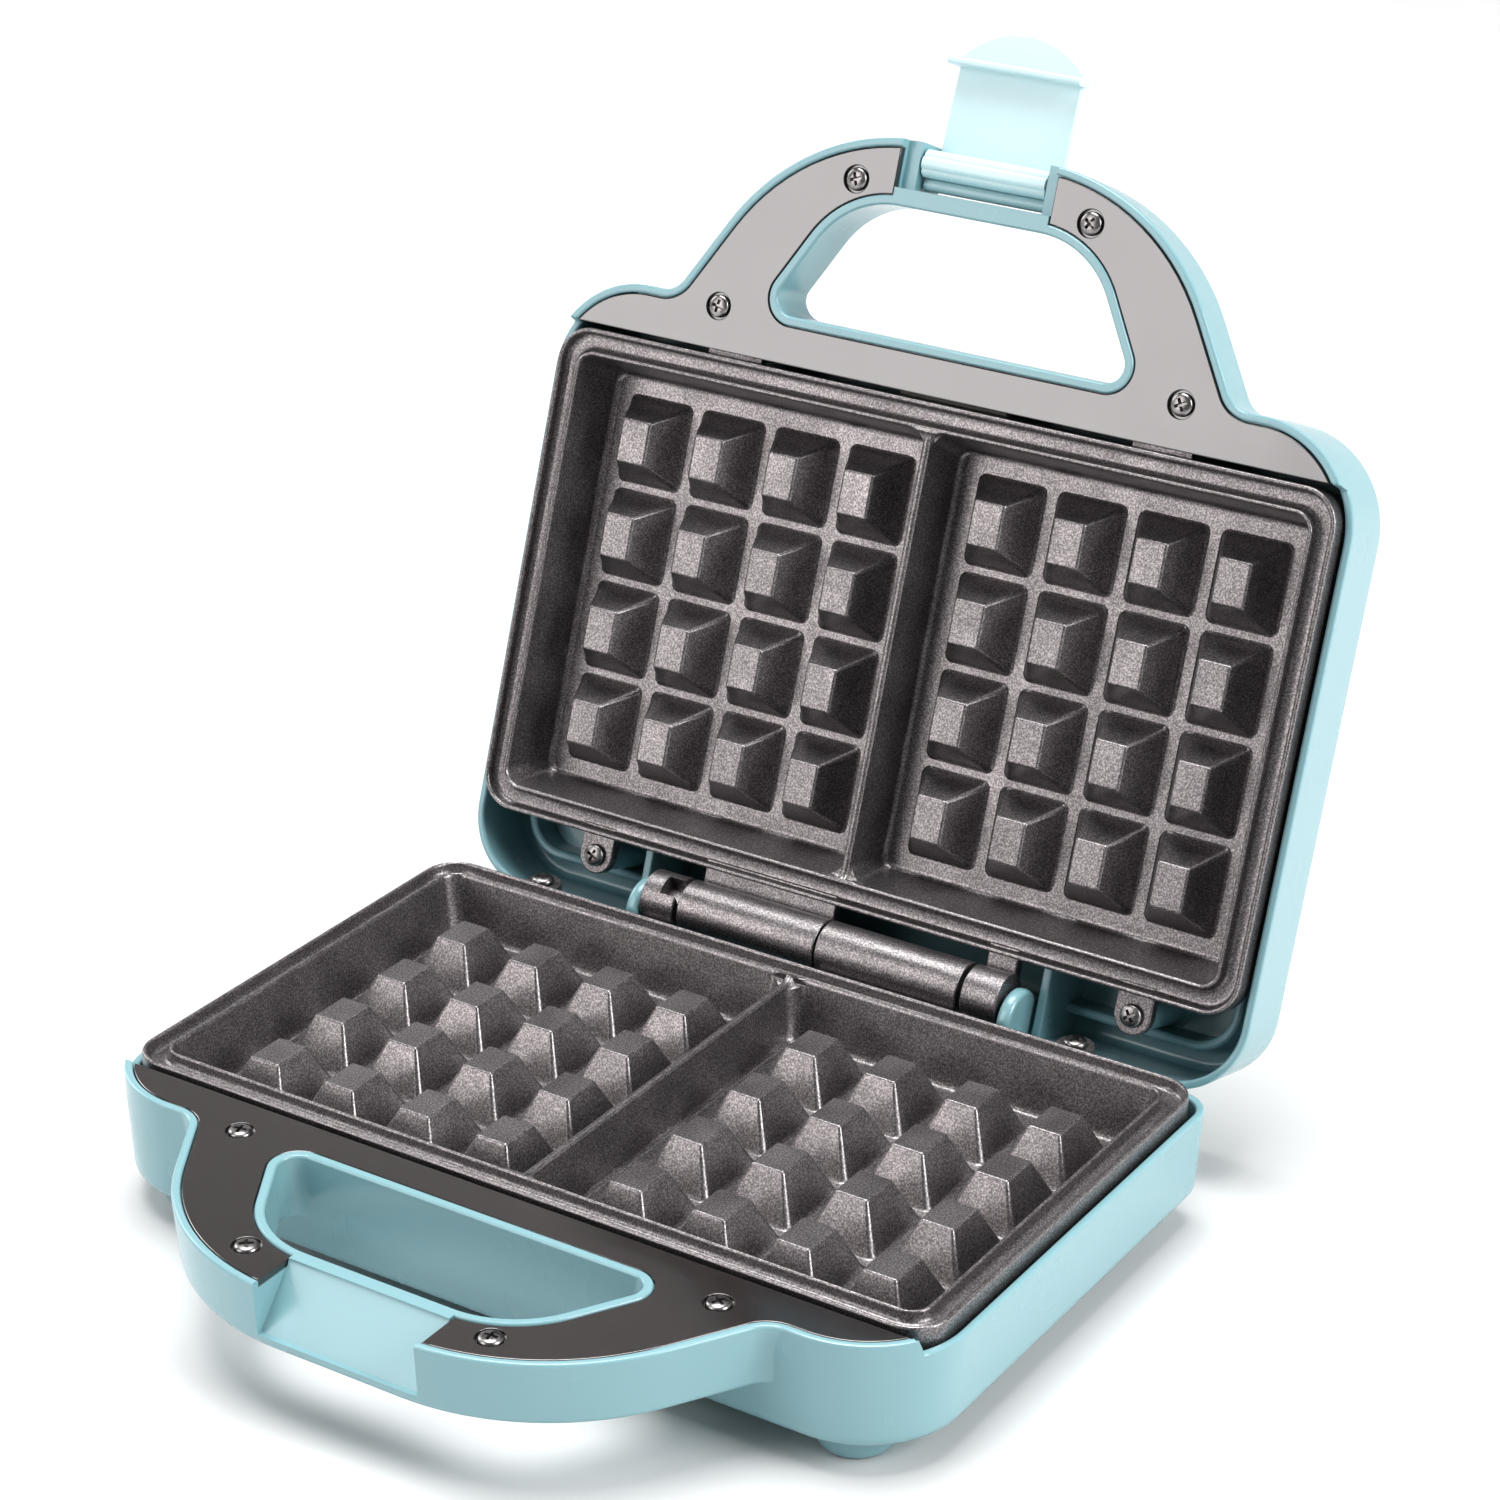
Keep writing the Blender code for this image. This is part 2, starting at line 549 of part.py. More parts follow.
def cavity_cutter(name, side, frame):
    """One waffle cavity: rounded at the corners and narrower at its floor."""
    above = 0.0058  # carried on past the crest at the same slope
    rise = above / (CREST_TOP - CAVITY_Z)
    outer = side * (CAVITY_OUT_X + CAVITY_INSET * rise)
    inner = side * (CAVITY_IN_X - RIDGE_INSET * rise)
    top_y = CAVITY_Y + CAVITY_INSET * rise
    low_outer, low_inner = side * (CAVITY_OUT_X - CAVITY_INSET), side * (CAVITY_IN_X + RIDGE_INSET)
    low_y = CAVITY_Y - CAVITY_INSET

    def ring(a, b, y, r):
        left, right = sorted((a, b))
        return rounded([(left, -y, r), (right, -y, r), (right, y, r), (left, y, r)])

    sections = [(ring(low_inner, low_outer, low_y, 0.0028), CAVITY_Z)]
    sections.append((ring(inner, outer, top_y, CAVITY_R), CREST_TOP + above))
    return loft(name, sections, frame)


def cooking_plate(name, frame):
    """The cast plate: lip, moat, crest, two cavities of pyramids, lugs, tabs and hinge barrels."""
    tag = name + "_"
    plate = prism(name, rectangle(LIP_X, LIP_Y, LIP_R), SKIRT_Z, LIP_Z, frame, COATING)
    moat = prism(tag + "moat", rectangle(MOAT_X, MOAT_Y, MOAT_R), MOAT_Z, 0.02, frame)
    inside = rectangle(MOAT_X - 0.001, MOAT_Y - 0.001, 0.0068)
    below = prism(tag + "below", inside, -0.03, MOAT_Z - 0.0022, frame)
    outline = rectangle(BODY_X, BODY_Y, BODY_R)
    body = prism(tag + "body", outline, UNDERSIDE_Z, MOAT_Z - 0.0005, frame, draft=0.0012)
    crest = prism(tag + "crest", rectangle(CREST_X, CREST_Y, CREST_R), UNDERSIDE_Z + 0.004, CREST_TOP, frame)
    cut(plate, moat, below)
    join(plate, body, crest)
    for side in (-1, 1):
        cut(plate, cavity_cutter(f"{tag}cavity_{side}", side, frame))
    reach = CAVITY_Y - 0.0012
    ridge_cut = box(tag + "ridge_cut", (-0.004, -reach, RIDGE_Z), (0.004, reach, 0.02), frame)
    cut(plate, ridge_cut)
    for column in range(4):
        for row in range(4):
            for side in (-1, 1):
                x = side * (PYRAMID_FIRST_X + column * PYRAMID_PITCH_X)
                y = PYRAMID_FIRST_Y + row * PYRAMID_PITCH_Y
                join(plate, pyramid(f"{tag}pyramid_{side}_{column}_{row}", x, y, frame))
    for x in LUGS_X:
        strap = box(f"{tag}strap_{x}", (x - LUG_R, 0.0610, LUG_LOW), (x + LUG_R, LUG_Y, LUG_TOP), frame)
        lug = rod(f"{tag}lug_{x}", (x, LUG_Y, LUG_LOW), (x, LUG_Y, LUG_TOP), LUG_R, "Z", frame, sides=20)
        hole = rod(f"{tag}lug_hole_{x}", (x, LUG_Y, -0.02), (x, LUG_Y, 0.02), 0.0018, "Z", frame, sides=12)
        cut(join(plate, strap, lug), hole)
    for side in (-1, 1):
        x = side * TAB_X
        low, top = (x - 0.008, -0.0705, -0.0032), (x + 0.008, -0.0610, -0.0012)
        join(plate, box(f"{tag}tab_{side}", low, top, frame))
    for kind, (x0, x1) in (("long", LONG_BARREL), ("short", SHORT_BARREL)):
        web_low, web_top = -0.0015, 0.0018
        web = box(f"{tag}{kind}_web", (x0 + 0.0008, 0.0615, web_low), (x1 - 0.0008, 0.0700, web_top), frame)
        left, right = (x0, HINGE_Y, HINGE_Z), (x1, HINGE_Y, HINGE_Z)
        barrel = rod(f"{tag}{kind}_barrel", left, right, BARREL_R, "X", frame, sides=24)
        join(plate, web, barrel)
    left, right = (-0.07, HINGE_Y, HINGE_Z), (0.07, HINGE_Y, HINGE_Z)
    return cut(plate, rod(tag + "hinge_bore", left, right, HINGE_BORE_R, "X", frame, sides=12))


# ---- heating parts ------------------------------------------------------------------------
def heating_element(name, frame):
    """A tubular heater: one loop under the plate, with both ends leaving at the rear."""
    loop = [
        (-ELEMENT_TAIL_X, ELEMENT_TAIL_Y, 0.0),
        (-ELEMENT_TAIL_X, ELEMENT_Y, 0.008),
        (-ELEMENT_X, ELEMENT_Y, 0.012),
        (-ELEMENT_X, -ELEMENT_Y, 0.012),
        (ELEMENT_X, -ELEMENT_Y, 0.012),
        (ELEMENT_X, ELEMENT_Y, 0.012),
        (ELEMENT_TAIL_X, ELEMENT_Y, 0.008),
        (ELEMENT_TAIL_X, ELEMENT_TAIL_Y, 0.0),
    ]
    points = rounded(loop)
    curve = bpy.data.curves.new(name, "CURVE")
    curve.dimensions = "3D"
    curve.bevel_depth = ELEMENT_R
    curve.bevel_resolution = 2
    curve.use_fill_caps = True
    spline = curve.splines.new("POLY")
    spline.points.add(len(points) - 1)
    for point, (x, y) in zip(spline.points, points):
        point.co = (x, y, ELEMENT_Z, 1.0)
    return place(bpy.data.objects.new(name, curve), frame, SHEATH)


def element_clamp(name, x, frame):
    """A pressed saddle that holds the heater against the plate."""
    low, top = SHIELD_LOW - 0.0001, UNDERSIDE_Z - GAP
    strap = box(name, (x - 0.0080, -0.0040, low), (x + 0.0080, 0.0040, top), frame, SHEET)
    inner = ELEMENT_R + GAP
    channel = box(name + "_channel", (x - inner, -0.01, low + 0.0008), (x + inner, 0.01, 0.0), frame)
    shoulders = []
    for side in (-1, 1):
        near, far = sorted((x + side * (inner + 0.0008), x + side * 0.02))
        low_corner, high_corner = (near, -0.01, -0.03), (far, 0.01, top - 0.0008)
        shoulders.append(box(f"{name}_shoulder_{side}", low_corner, high_corner, frame))
    return cut(strap, channel, *shoulders)


def heat_shield(name, frame):
    """A shallow reflector tray under the heater, with openings for the clamps and the sensor."""
    tag = name + "_"
    outline = rectangle(SHIELD_X, SHIELD_Y, 0.006)
    tray = prism(name, outline, SHIELD_LOW, SHIELD_LOW + 0.0050, frame, SHEET)
    hollow = prism(tag + "hollow", inset(outline, 0.0005), SHIELD_TOP, 0.0, frame)
    tails = box(tag + "tails", (-0.0200, 0.0400, SHIELD_TOP), (0.0200, 0.0600, 0.0), frame)
    sensor = rod(tag + "sensor", (0, 0, -0.03), (0, 0, 0), 0.0095, "Z", frame, sides=20)
    cut(tray, hollow, tails, sensor)
    for side in (-1, 1):
        x = side * ELEMENT_X
        cut(tray, box(f"{tag}clamp_{side}", (x - 0.0088, -0.0048, -0.03), (x + 0.0088, 0.0048, 0.0), frame))
    return tray


def thermostat(name, frame):
    """A bimetal disc thermostat against the plate, with two blade terminals."""
    top = UNDERSIDE_Z - GAP
    profile = [(0.0, top), (0.0074, top), (0.0080, top - 0.0006), (0.0080, top - 0.0030)]
    profile += [(0.0070, top - 0.0034), (0.0070, top - 0.0056), (0.0, top - 0.0056)]
    body = turned(name, profile, (0, 0, 0), frame, CERAMIC, steps=20)
    for side in (-1, 1):
        x = side * 0.0045
        low_corner, high_corner = (x - 0.0020, -0.0003, top - 0.0070), (x + 0.0020, 0.0003, top - 0.0050)
        blade = box(f"{name}_blade_{side}", low_corner, high_corner, frame)
        join(body, blade)
    return body


# ---- small parts --------------------------------------------------------------------------
def foot(name, x, y):
    profile = [(0.0, -0.0193), (0.0027, -0.0193), (0.0027, TUB_BOTTOM - GAP), (FOOT_R, TUB_BOTTOM - GAP)]
    profile += [(FOOT_R - 0.0004, -0.0284), (FOOT_R - 0.0018, -FOOT_DROP), (0.0, -FOOT_DROP)]
    return turned(name, profile, (x, y, 0), BASE, SHELL, steps=20)


def cord_inlet():
    """A hollow snap-in bush in the base's rear wall."""
    half = WALL / 2 + GAP
    profile = [(INLET_BORE_R, half + 0.0022), (INLET_FLANGE_R, half + 0.0022), (INLET_FLANGE_R, half)]
    profile += [(INLET_NECK_R, half), (INLET_NECK_R, -half)]
    profile += [(INLET_FLANGE_R, -half), (INLET_FLANGE_R, -half - 0.0018)]
    profile += [(INLET_BORE_R, -half - 0.0018), (INLET_BORE_R, half + 0.0022)]
    middle = (INLET_X, BULGE_Y - WALL / 2, INLET_Z)
    return turned("cord_inlet_bush", profile, middle, BASE, RUBBER, steps=16, rotation=(-math.pi / 2, 0, 0))


def lens(name, x, finish):
    """A dome lens that shows on the lid's outside and is held by a flange inside."""
    profile = [(0.0, FLOOR_Z + 0.0014), (0.0042, FLOOR_Z + 0.0014)]
    profile += [(0.0042, FLOOR_Z + GAP), (0.0028, FLOOR_Z + GAP)]
    profile += [(0.0028, TUB_BOTTOM - 0.0006), (0.0020, TUB_BOTTOM - 0.0014), (0.0, TUB_BOTTOM - 0.0018)]
    return turned(name, profile, (x, LENS_Y, 0), LID, finish, steps=16)


def latch():
    """The clip: a barrel on the pin, a flat plate, a ledge that hooks under the base, and a finger tab."""
    tag = "latch_"
    back, front = -0.0066, -0.0046
    plate = box("latch", (-LATCH_HALF, back, -0.0034), (LATCH_HALF, front, LEDGE_TOP), LATCH, SHELL)
    web_x = LATCH_HALF - 0.0004
    web = box(tag + "web", (-web_x, back + 0.0006, -0.0028), (web_x, 0.0, 0.0016), LATCH)
    barrel = rod(tag + "barrel", (-0.0170, 0, 0), (0.0170, 0, 0), 0.0036, "X", LATCH, sides=16)
    low, top = (-LEDGE_HALF, back + 0.0010, LEDGE_LOW), (LEDGE_HALF, -0.0001, LEDGE_TOP - 0.0001)
    ledge = box(tag + "ledge", low, top, LATCH)
    middle = LEDGE_TOP + TAB_HEIGHT - TAB_R
    rear, fore = (0, back + 0.0001, middle), (0, front - 0.0001, middle)
    tab = rod(tag + "tab", rear, fore, TAB_R, "Y", LATCH, sides=56)
    cut(tab, box(tag + "tab_cut", (-0.05, -0.02, -0.05), (0.05, 0.02, LEDGE_TOP - 0.0010), LATCH))
    bore = rod(tag + "bore", (-0.03, 0, 0), (0.03, 0, 0), 0.0018, "X", LATCH, sides=12)
    return cut(join(plate, web, barrel, ledge, tab), bore)


# ---- assembly -----------------------------------------------------------------------------
base_details(housing("base_housing", BASE, BASE_REAR, BASE_REAR_R))
lid_details(housing("lid_housing", LID, LID_REAR, LID_REAR_R))

for half, frame in (("base", BASE), ("lid", LID)):
    trim_plate(f"{half}_trim_plate", frame)
    for number, (x, y) in enumerate(screw_spots(TRIM_SCREWS), 1):
        screw(f"{half}_trim_screw_{number}", x, y, TRIM_SINK, 0.0078, frame)
    plate_name = {"base": "lower", "lid": "upper"}[half]
    cooking_plate(f"{plate_name}_cooking_plate", frame)
    for number, x in enumerate(LUGS_X, 1):
        screw(f"{plate_name}_plate_screw_{number}", x, LUG_Y, LUG_TOP, 0.0110, frame)
    heating_element(f"{plate_name}_heating_element", frame)
    for number, side in enumerate((-1, 1), 1):
        element_clamp(f"{plate_name}_element_clamp_{number}", side * ELEMENT_X, frame)
    heat_shield(f"{plate_name}_heat_shield", frame)

pin_x = EAR_OUT - 0.0006
pin_left, pin_right = (-pin_x, HINGE_Y, HINGE_Z), (pin_x, HINGE_Y, HINGE_Z)
rod("hinge_pin", pin_left, pin_right, HINGE_PIN_R, "X", BASE, STEEL, sides=12)
thermostat("thermostat", BASE)
low = FLOOR_Z + GAP
box("terminal_block", (0.0120, 0.0602, low), (0.0340, 0.0700, low + 0.0085), BASE, CERAMIC)
cord_inlet()
for label, (x, y) in zip(("front_left", "front_right", "rear_left", "rear_right"), FEET):
    foot(f"foot_{label}", x, y)

fuse_z = UNDERSIDE_Z - GAP - 0.0024
rod("thermal_fuse", (-0.0110, 0, fuse_z), (0.0110, 0, fuse_z), 0.0024, "X", LID, CERAMIC, sides=12)
lens("power_lens", LENS_X, RED_LENS)
lens("ready_lens", -LENS_X, GREEN_LENS)
for label, x in (("power", LENS_X), ("ready", -LENS_X)):
    bottom = FLOOR_Z + 0.0018
    rod(f"{label}_lamp", (x, LENS_Y, bottom), (x, LENS_Y, bottom + 0.0085), 0.0025, "Z", LID, LAMP, sides=12)
holder_z = FLOOR_Z + 0.0018 + 0.0085 + GAP
holder_low, holder_high = (-0.0150, LENS_Y - 0.0035, holder_z), (0.0150, LENS_Y + 0.0040, holder_z + 0.0030)
box("lamp_holder", holder_low, holder_high, LID, HOLDER)

latch()
pin_x = RECESS_X - 0.0008
rod("latch_pin", (-pin_x, LATCH_Y, LATCH_Z), (pin_x, LATCH_Y, LATCH_Z), 0.0015, "X", LID, STEEL, sides=12)
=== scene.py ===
"""Waffle maker, open on a pale floor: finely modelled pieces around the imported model.

Shapes are drawn in millimetres in each half's own frame (X across, -Y towards the handle, +Y towards
the hinge, +Z out of the cooking plate, z = 0 at the pyramid tops) and then placed in metres.
"""

import json
import math

import bmesh
import bpy
from mathutils import Matrix, Vector


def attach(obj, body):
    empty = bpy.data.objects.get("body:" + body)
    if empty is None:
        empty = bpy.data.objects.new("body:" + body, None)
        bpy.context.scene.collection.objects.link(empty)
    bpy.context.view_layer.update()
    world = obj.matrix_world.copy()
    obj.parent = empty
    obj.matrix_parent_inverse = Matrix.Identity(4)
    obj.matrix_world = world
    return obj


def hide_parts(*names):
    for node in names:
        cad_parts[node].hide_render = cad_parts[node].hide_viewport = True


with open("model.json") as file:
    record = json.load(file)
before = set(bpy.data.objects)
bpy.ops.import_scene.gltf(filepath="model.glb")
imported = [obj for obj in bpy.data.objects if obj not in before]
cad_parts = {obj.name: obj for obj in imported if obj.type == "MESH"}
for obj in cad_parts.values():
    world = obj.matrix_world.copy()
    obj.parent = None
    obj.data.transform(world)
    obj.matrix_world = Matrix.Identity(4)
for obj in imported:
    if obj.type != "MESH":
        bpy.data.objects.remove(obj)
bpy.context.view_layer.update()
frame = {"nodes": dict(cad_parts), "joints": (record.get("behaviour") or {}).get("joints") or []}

# ---- the halves' frames ---------------------------------------------------------------------
JOINTS = {joint["name"]: joint for joint in frame["joints"]}
HINGE_Y, HINGE_Z = 73.7, 4.5
LATCH_Y, LATCH_Z = -119.5, -3.0
hinge = Vector(JOINTS["lid_hinge"]["pos_m"])
lid_open = math.radians(JOINTS["lid_hinge"]["range_deg"][1])
latch_open = math.radians(JOINTS["latch_pivot"]["range_deg"][1])
BASE = Matrix.Translation(hinge) @ Matrix.Scale(0.001, 4) @ Matrix.Translation((0, -HINGE_Y, -HINGE_Z))
LID = Matrix.Translation(hinge) @ Matrix.Rotation(-lid_open, 4, "X") @ Matrix.Scale(0.001, 4)
LID = LID @ Matrix.Translation((0, -HINGE_Y, HINGE_Z)) @ Matrix.Rotation(math.pi, 4, "Y")
LATCH = LID @ Matrix.Translation((0, LATCH_Y, LATCH_Z)) @ Matrix.Rotation(latch_open, 4, "X")

# ---- dimensions, in millimetres -------------------------------------------------------------
TUB_X, TUB_FRONT, TUB_FRONT_R = 112.0, -77.0, 26.0
TUB_BOTTOM, FLOOR_Z = -23.0, -20.8
HANDLE_RIM = 3.8
ARCH = [(49.5, -124.85, 58.0), (78.0, -77.0, 7.0), (90.0, -76.7, 0.0), (90.0, -71.0, 0.0)]
HANDLE = [(49.5, -125.0, 58.0), (78.0, -77.0, 7.0), (TUB_X, TUB_FRONT, TUB_FRONT_R), (TUB_X, -34.0, 0.0)]
GRIP_TOP, GRIP_CORNER = (33.3, -108.2, 23.8), (51.5, -76.6, 4.5)
RECESS_X = 21.3
TRIM_LOW, TRIM_TOP, TRIM_SINK = 1.9, 3.5, 2.6
TRIM_SCREWS = [(side * x, y) for side in (-1, 1) for x, y in ((64.6, -75.4), (32.4, -112.7))]
LUGS_X, LUG_Y, LUG_R = (-82.5, 72.5), 68.8, 4.85
LUG_ROOT_Y, LUG_LOW, LUG_TOP, LUG_SEAT = 60.9, -1.3, 1.5, 1.8
BASE_REAR, LID_REAR = (66.0, 9.0), (84.0, 19.5)
CAVITY_Z, CREST_TOP, RIDGE_Z = -11.1, 4.2, 3.2
CAVITY_OUT, CAVITY_IN, CAVITY_Y, CAVITY_R = 99.0, 2.9, 53.1, 3.1
LIP, CREST, UNDERSIDE = (108.8, 63.3, 9.0), (103.4, 57.5, 5.2), (104.5, 58.8, 6.2)
PYRAMID_X, PYRAMID_Y, PYRAMID_PITCH = 18.5, -36.9, (22.0, 24.6)
EAR_R, EAR_Z, EAR_IN, EAR_OUT = 7.8, 0.4, 51.9, 55.6
RELIEF_R, RELIEF_X = 7.6, 52.9
BARREL_R = 6.9
LONG_BARREL, SHORT_BARREL = (0.3, 40.3), (-51.3, -41.6)
WINDOW_TURN = {"base": 28.0, "lid": -64.0}
INLET_X, INLET_Z = 45.5, -14.0
NOTCH_X = 56.8
GAP_X, LATCH_WALL_Y = 17.6, -112.6
LENS_X, LENS_Y = 10.0, -67.2
FAR = 200
FEET = {
    "foot_front_left": (-90.0, -60.0),
    "foot_front_right": (90.0, -60.0),
    "foot_rear_left": (-90.0, 54.5),
    "foot_rear_right": (90.0, 54.5),
}


# ---- shapes ---------------------------------------------------------------------------------
EDGE_STEPS = 3
SHARP_EDGE = math.radians(25)


def inset(corners, distance):
    """The corners (x, y, radius) of an anticlockwise outline, moved inwards."""
    moved = []
    for index, (x, y, radius) in enumerate(corners):
        before = corners[index - 1]
        after = corners[(index + 1) % len(corners)]
        back = math.atan2(y - before[1], x - before[0])
        ahead = math.atan2(after[1] - y, after[0] - x)
        turn = (ahead - back + math.pi) % (2 * math.pi) - math.pi
        reach = distance / math.cos(turn / 2)
        inward = back + turn / 2 + math.pi / 2
        rounder = max(radius - distance * math.copysign(1.0, turn), 0.01) if radius else 0.0
        moved.append((x + reach * math.cos(inward), y + reach * math.sin(inward), rounder))
    return moved


def rounded(corners, step=4.0):
    """The outline's points, with its corners rounded by arcs of about step degrees a side."""
    points = []
    for index, (x, y, radius) in enumerate(corners):
        before = corners[index - 1]
        after = corners[(index + 1) % len(corners)]
        back = math.atan2(y - before[1], x - before[0])
        ahead = math.atan2(after[1] - y, after[0] - x)
        turn = (ahead - back + math.pi) % (2 * math.pi) - math.pi
        if radius <= 0.0 or abs(turn) < 1e-4:
            points.append((x, y))
            continue
        side = math.copysign(1.0, turn)
        tangent = radius * math.tan(abs(turn) / 2)
        centre_x = x - tangent * math.cos(back) - side * radius * math.sin(back)
        centre_y = y - tangent * math.sin(back) + side * radius * math.cos(back)
        steps = max(2, round(abs(turn) / math.radians(step)))
        for number in range(steps + 1):
            heading = back + turn * number / steps
            across_x, along_y = side * radius * math.sin(heading), side * radius * math.cos(heading)
            points.append((centre_x + across_x, centre_y - along_y))
    return points


def mirrored(half):
    return half + [(-x, y, radius) for x, y, radius in reversed(half)]


def rectangle(x, y, radius):
    return mirrored([(x, -y, radius), (x, y, radius)])


def ring(corners, distance, z, step=4.0):
    return [(x, y, z) for x, y in rounded(inset(corners, distance), step)]


def soft_edge(high, size):
    """(distance in, height) pairs of a quarter round that ends a wall at height high."""
    pairs = []
    for number in range(EDGE_STEPS + 1):
        angle = math.pi / 2 * number / EDGE_STEPS
        pairs.append((size * (1 - math.cos(angle)), high - size * (1 - math.sin(angle))))
    return pairs


def mesh_object(name, work):
    bmesh.ops.recalc_face_normals(work, faces=work.faces)
    mesh = bpy.data.meshes.new(name)
    work.to_mesh(mesh)
    work.free()
    made = bpy.data.objects.new(name, mesh)
    bpy.context.scene.collection.objects.link(made)
    made.hide_render = True
    return made


def skin(name, rings):
    """A closed skin through rings with equal numbers of points, capped at both ends."""
    work = bmesh.new()
    loops = [[work.verts.new(point) for point in points] for points in rings]
    work.faces.new(reversed(loops[0]))
    work.faces.new(loops[-1])
    for low, high in zip(loops, loops[1:]):
        for index in range(len(low)):
            work.faces.new((low[index - 1], low[index], high[index], high[index - 1]))
    return mesh_object(name, work)


def stack(name, corners, levels, step=4.0):
    """A skin through copies of one outline, each moved in by a distance at a height."""
    return skin(name, [ring(corners, distance, z, step) for distance, z in levels])


def slab(name, corners, low, high, edge=0.4, step=4.0):
    """A level plate on an outline, with its top edges rounded."""
    return stack(name, corners, [(0.0, low)] + soft_edge(high, edge), step)


def bevelled(name, work, edge):
    if edge:
        bmesh.ops.recalc_face_normals(work, faces=work.faces)
        sharp = [e for e in work.edges if e.calc_face_angle(0.0) > SHARP_EDGE]
        options = {"segments": EDGE_STEPS, "profile": 0.5, "affect": "EDGES", "clamp_overlap": True}
        bmesh.ops.bevel(work, geom=sharp, offset=edge, **options)
    return mesh_object(name, work)


def block(name, low, high, edge=0.0):
    work = bmesh.new()
    bmesh.ops.create_cube(work, size=1.0)
    size = [b - a for a, b in zip(low, high)]
    middle = [(a + b) / 2 for a, b in zip(low, high)]
    placing = Matrix.Translation(middle) @ Matrix.Diagonal((*size, 1.0))
    bmesh.ops.transform(work, matrix=placing, verts=work.verts)
    return bevelled(name, work, edge)


def across(name, outline, x0, x1, edge=0.0):
    """A solid with its outline (y, z) in the side view, from x0 to x1."""
    work = bmesh.new()
    ends = [[work.verts.new((x, y, z)) for y, z in outline] for x in (x0, x1)]
    work.faces.new(ends[0])
    work.faces.new(reversed(ends[1]))
    for index in range(len(outline)):
        work.faces.new((ends[0][index - 1], ends[1][index - 1], ends[1][index], ends[0][index]))
    return bevelled(name, work, edge)


AXES = {
    "X": Matrix.Rotation(math.pi / 2, 4, "Y"),
    "Y": Matrix.Rotation(-math.pi / 2, 4, "X"),
    "Z": Matrix.Identity(4),
}


def spun(name, profile, centre, axis="Z", sides=48):
    """A turned solid from (radius, height) pairs that start and end on the axis or form a ring."""
    work = bmesh.new()
    loops = []
    for radius, height in profile:
        if radius < 1e-6:
            loops.append([work.verts.new((0.0, 0.0, height))])
            continue
        angles = [2 * math.pi * number / sides for number in range(sides)]
        loops.append([work.verts.new((radius * math.cos(a), radius * math.sin(a), height)) for a in angles])
    pairs = list(zip(loops, loops[1:]))
    if len(loops[0]) > 1 and len(loops[-1]) > 1:
        pairs.append((loops[-1], loops[0]))
    for low, high in pairs:
        for number in range(sides):
            corners = [low[number - 1 if len(low) > 1 else 0], low[number if len(low) > 1 else 0]]
            corners += [high[number if len(high) > 1 else 0], high[number - 1 if len(high) > 1 else 0]]
            corners = list(dict.fromkeys(corners))
            if len(corners) > 2:
                work.faces.new(corners)
    bmesh.ops.transform(work, matrix=Matrix.Translation(centre) @ AXES[axis], verts=work.verts)
    return mesh_object(name, work)


def drum(name, centre, axis, radius, length, edge=0.4, sides=64):
    """A cylinder with rounded rims, centred at centre."""
    rim = [(radius - distance, z) for distance, z in soft_edge(length / 2, edge)]
    profile = [(0.0, -length / 2)] + [(r, -z) for r, z in reversed(rim)] + rim + [(0.0, length / 2)]
    return spun(name, profile, centre, axis, sides)


def combine(shape, operation, others):
    """The others joined to or cut from the shape, baked into its mesh."""
    for other in others:
        made = shape.modifiers.new(other.name, "BOOLEAN")
        made.operation = operation
        made.solver = "EXACT"
        made.object = other
    bpy.context.view_layer.update()
    graph = bpy.context.evaluated_depsgraph_get()
    mesh = bpy.data.meshes.new_from_object(shape.evaluated_get(graph))
    shape.modifiers.clear()
    shape.data = mesh
    for other in others:
        bpy.data.objects.remove(other)
    return shape


def cut(shape, *cutters):
    return combine(shape, "DIFFERENCE", cutters)


def join(shape, *others):
    return combine(shape, "UNION", others)


def gather(name, shapes):
    """Shapes that don't touch, as one mesh."""
    work = bmesh.new()
    for shape in shapes:
        work.from_mesh(shape.data)
        bpy.data.objects.remove(shape)
    return mesh_object(name, work)


def finished(shape, body, place, finish, nodes=(), angle=32.0):
    """The shape as a shown piece: placed, shaded, riding on its body and standing for its CAD nodes."""
    shape.hide_render = False
    mesh = shape.data
    work = bmesh.new()
    work.from_mesh(mesh)
    bmesh.ops.remove_doubles(work, verts=work.verts, dist=0.002)
    bmesh.ops.dissolve_degenerate(work, edges=work.edges, dist=0.001)
    bmesh.ops.recalc_face_normals(work, faces=work.faces)
    work.to_mesh(mesh)
    work.free()
    mesh.transform(place)
    mesh.shade_smooth()
    mesh.set_sharp_from_angle(angle=math.radians(angle))
    mesh.materials.clear()
    mesh.materials.append(finish)
    even = shape.modifiers.new("even_normals", "WEIGHTED_NORMAL")
    even.keep_sharp = True
    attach(shape, body)
    if nodes:
        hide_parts(*nodes)
    return shape


# ---- materials ------------------------------------------------------------------------------
def shader_material(name, roughness, metallic=0.0, **constants):
    made = bpy.data.materials.new(name)
    made.use_nodes = True
    shader = made.node_tree.nodes["Principled BSDF"]
    shader.inputs["Roughness"].default_value = roughness
    shader.inputs["Metallic"].default_value = metallic
    for socket, value in constants.items():
        shader.inputs[socket.replace("_", " ")].default_value = value
    return made, made.node_tree.nodes, made.node_tree.links, shader


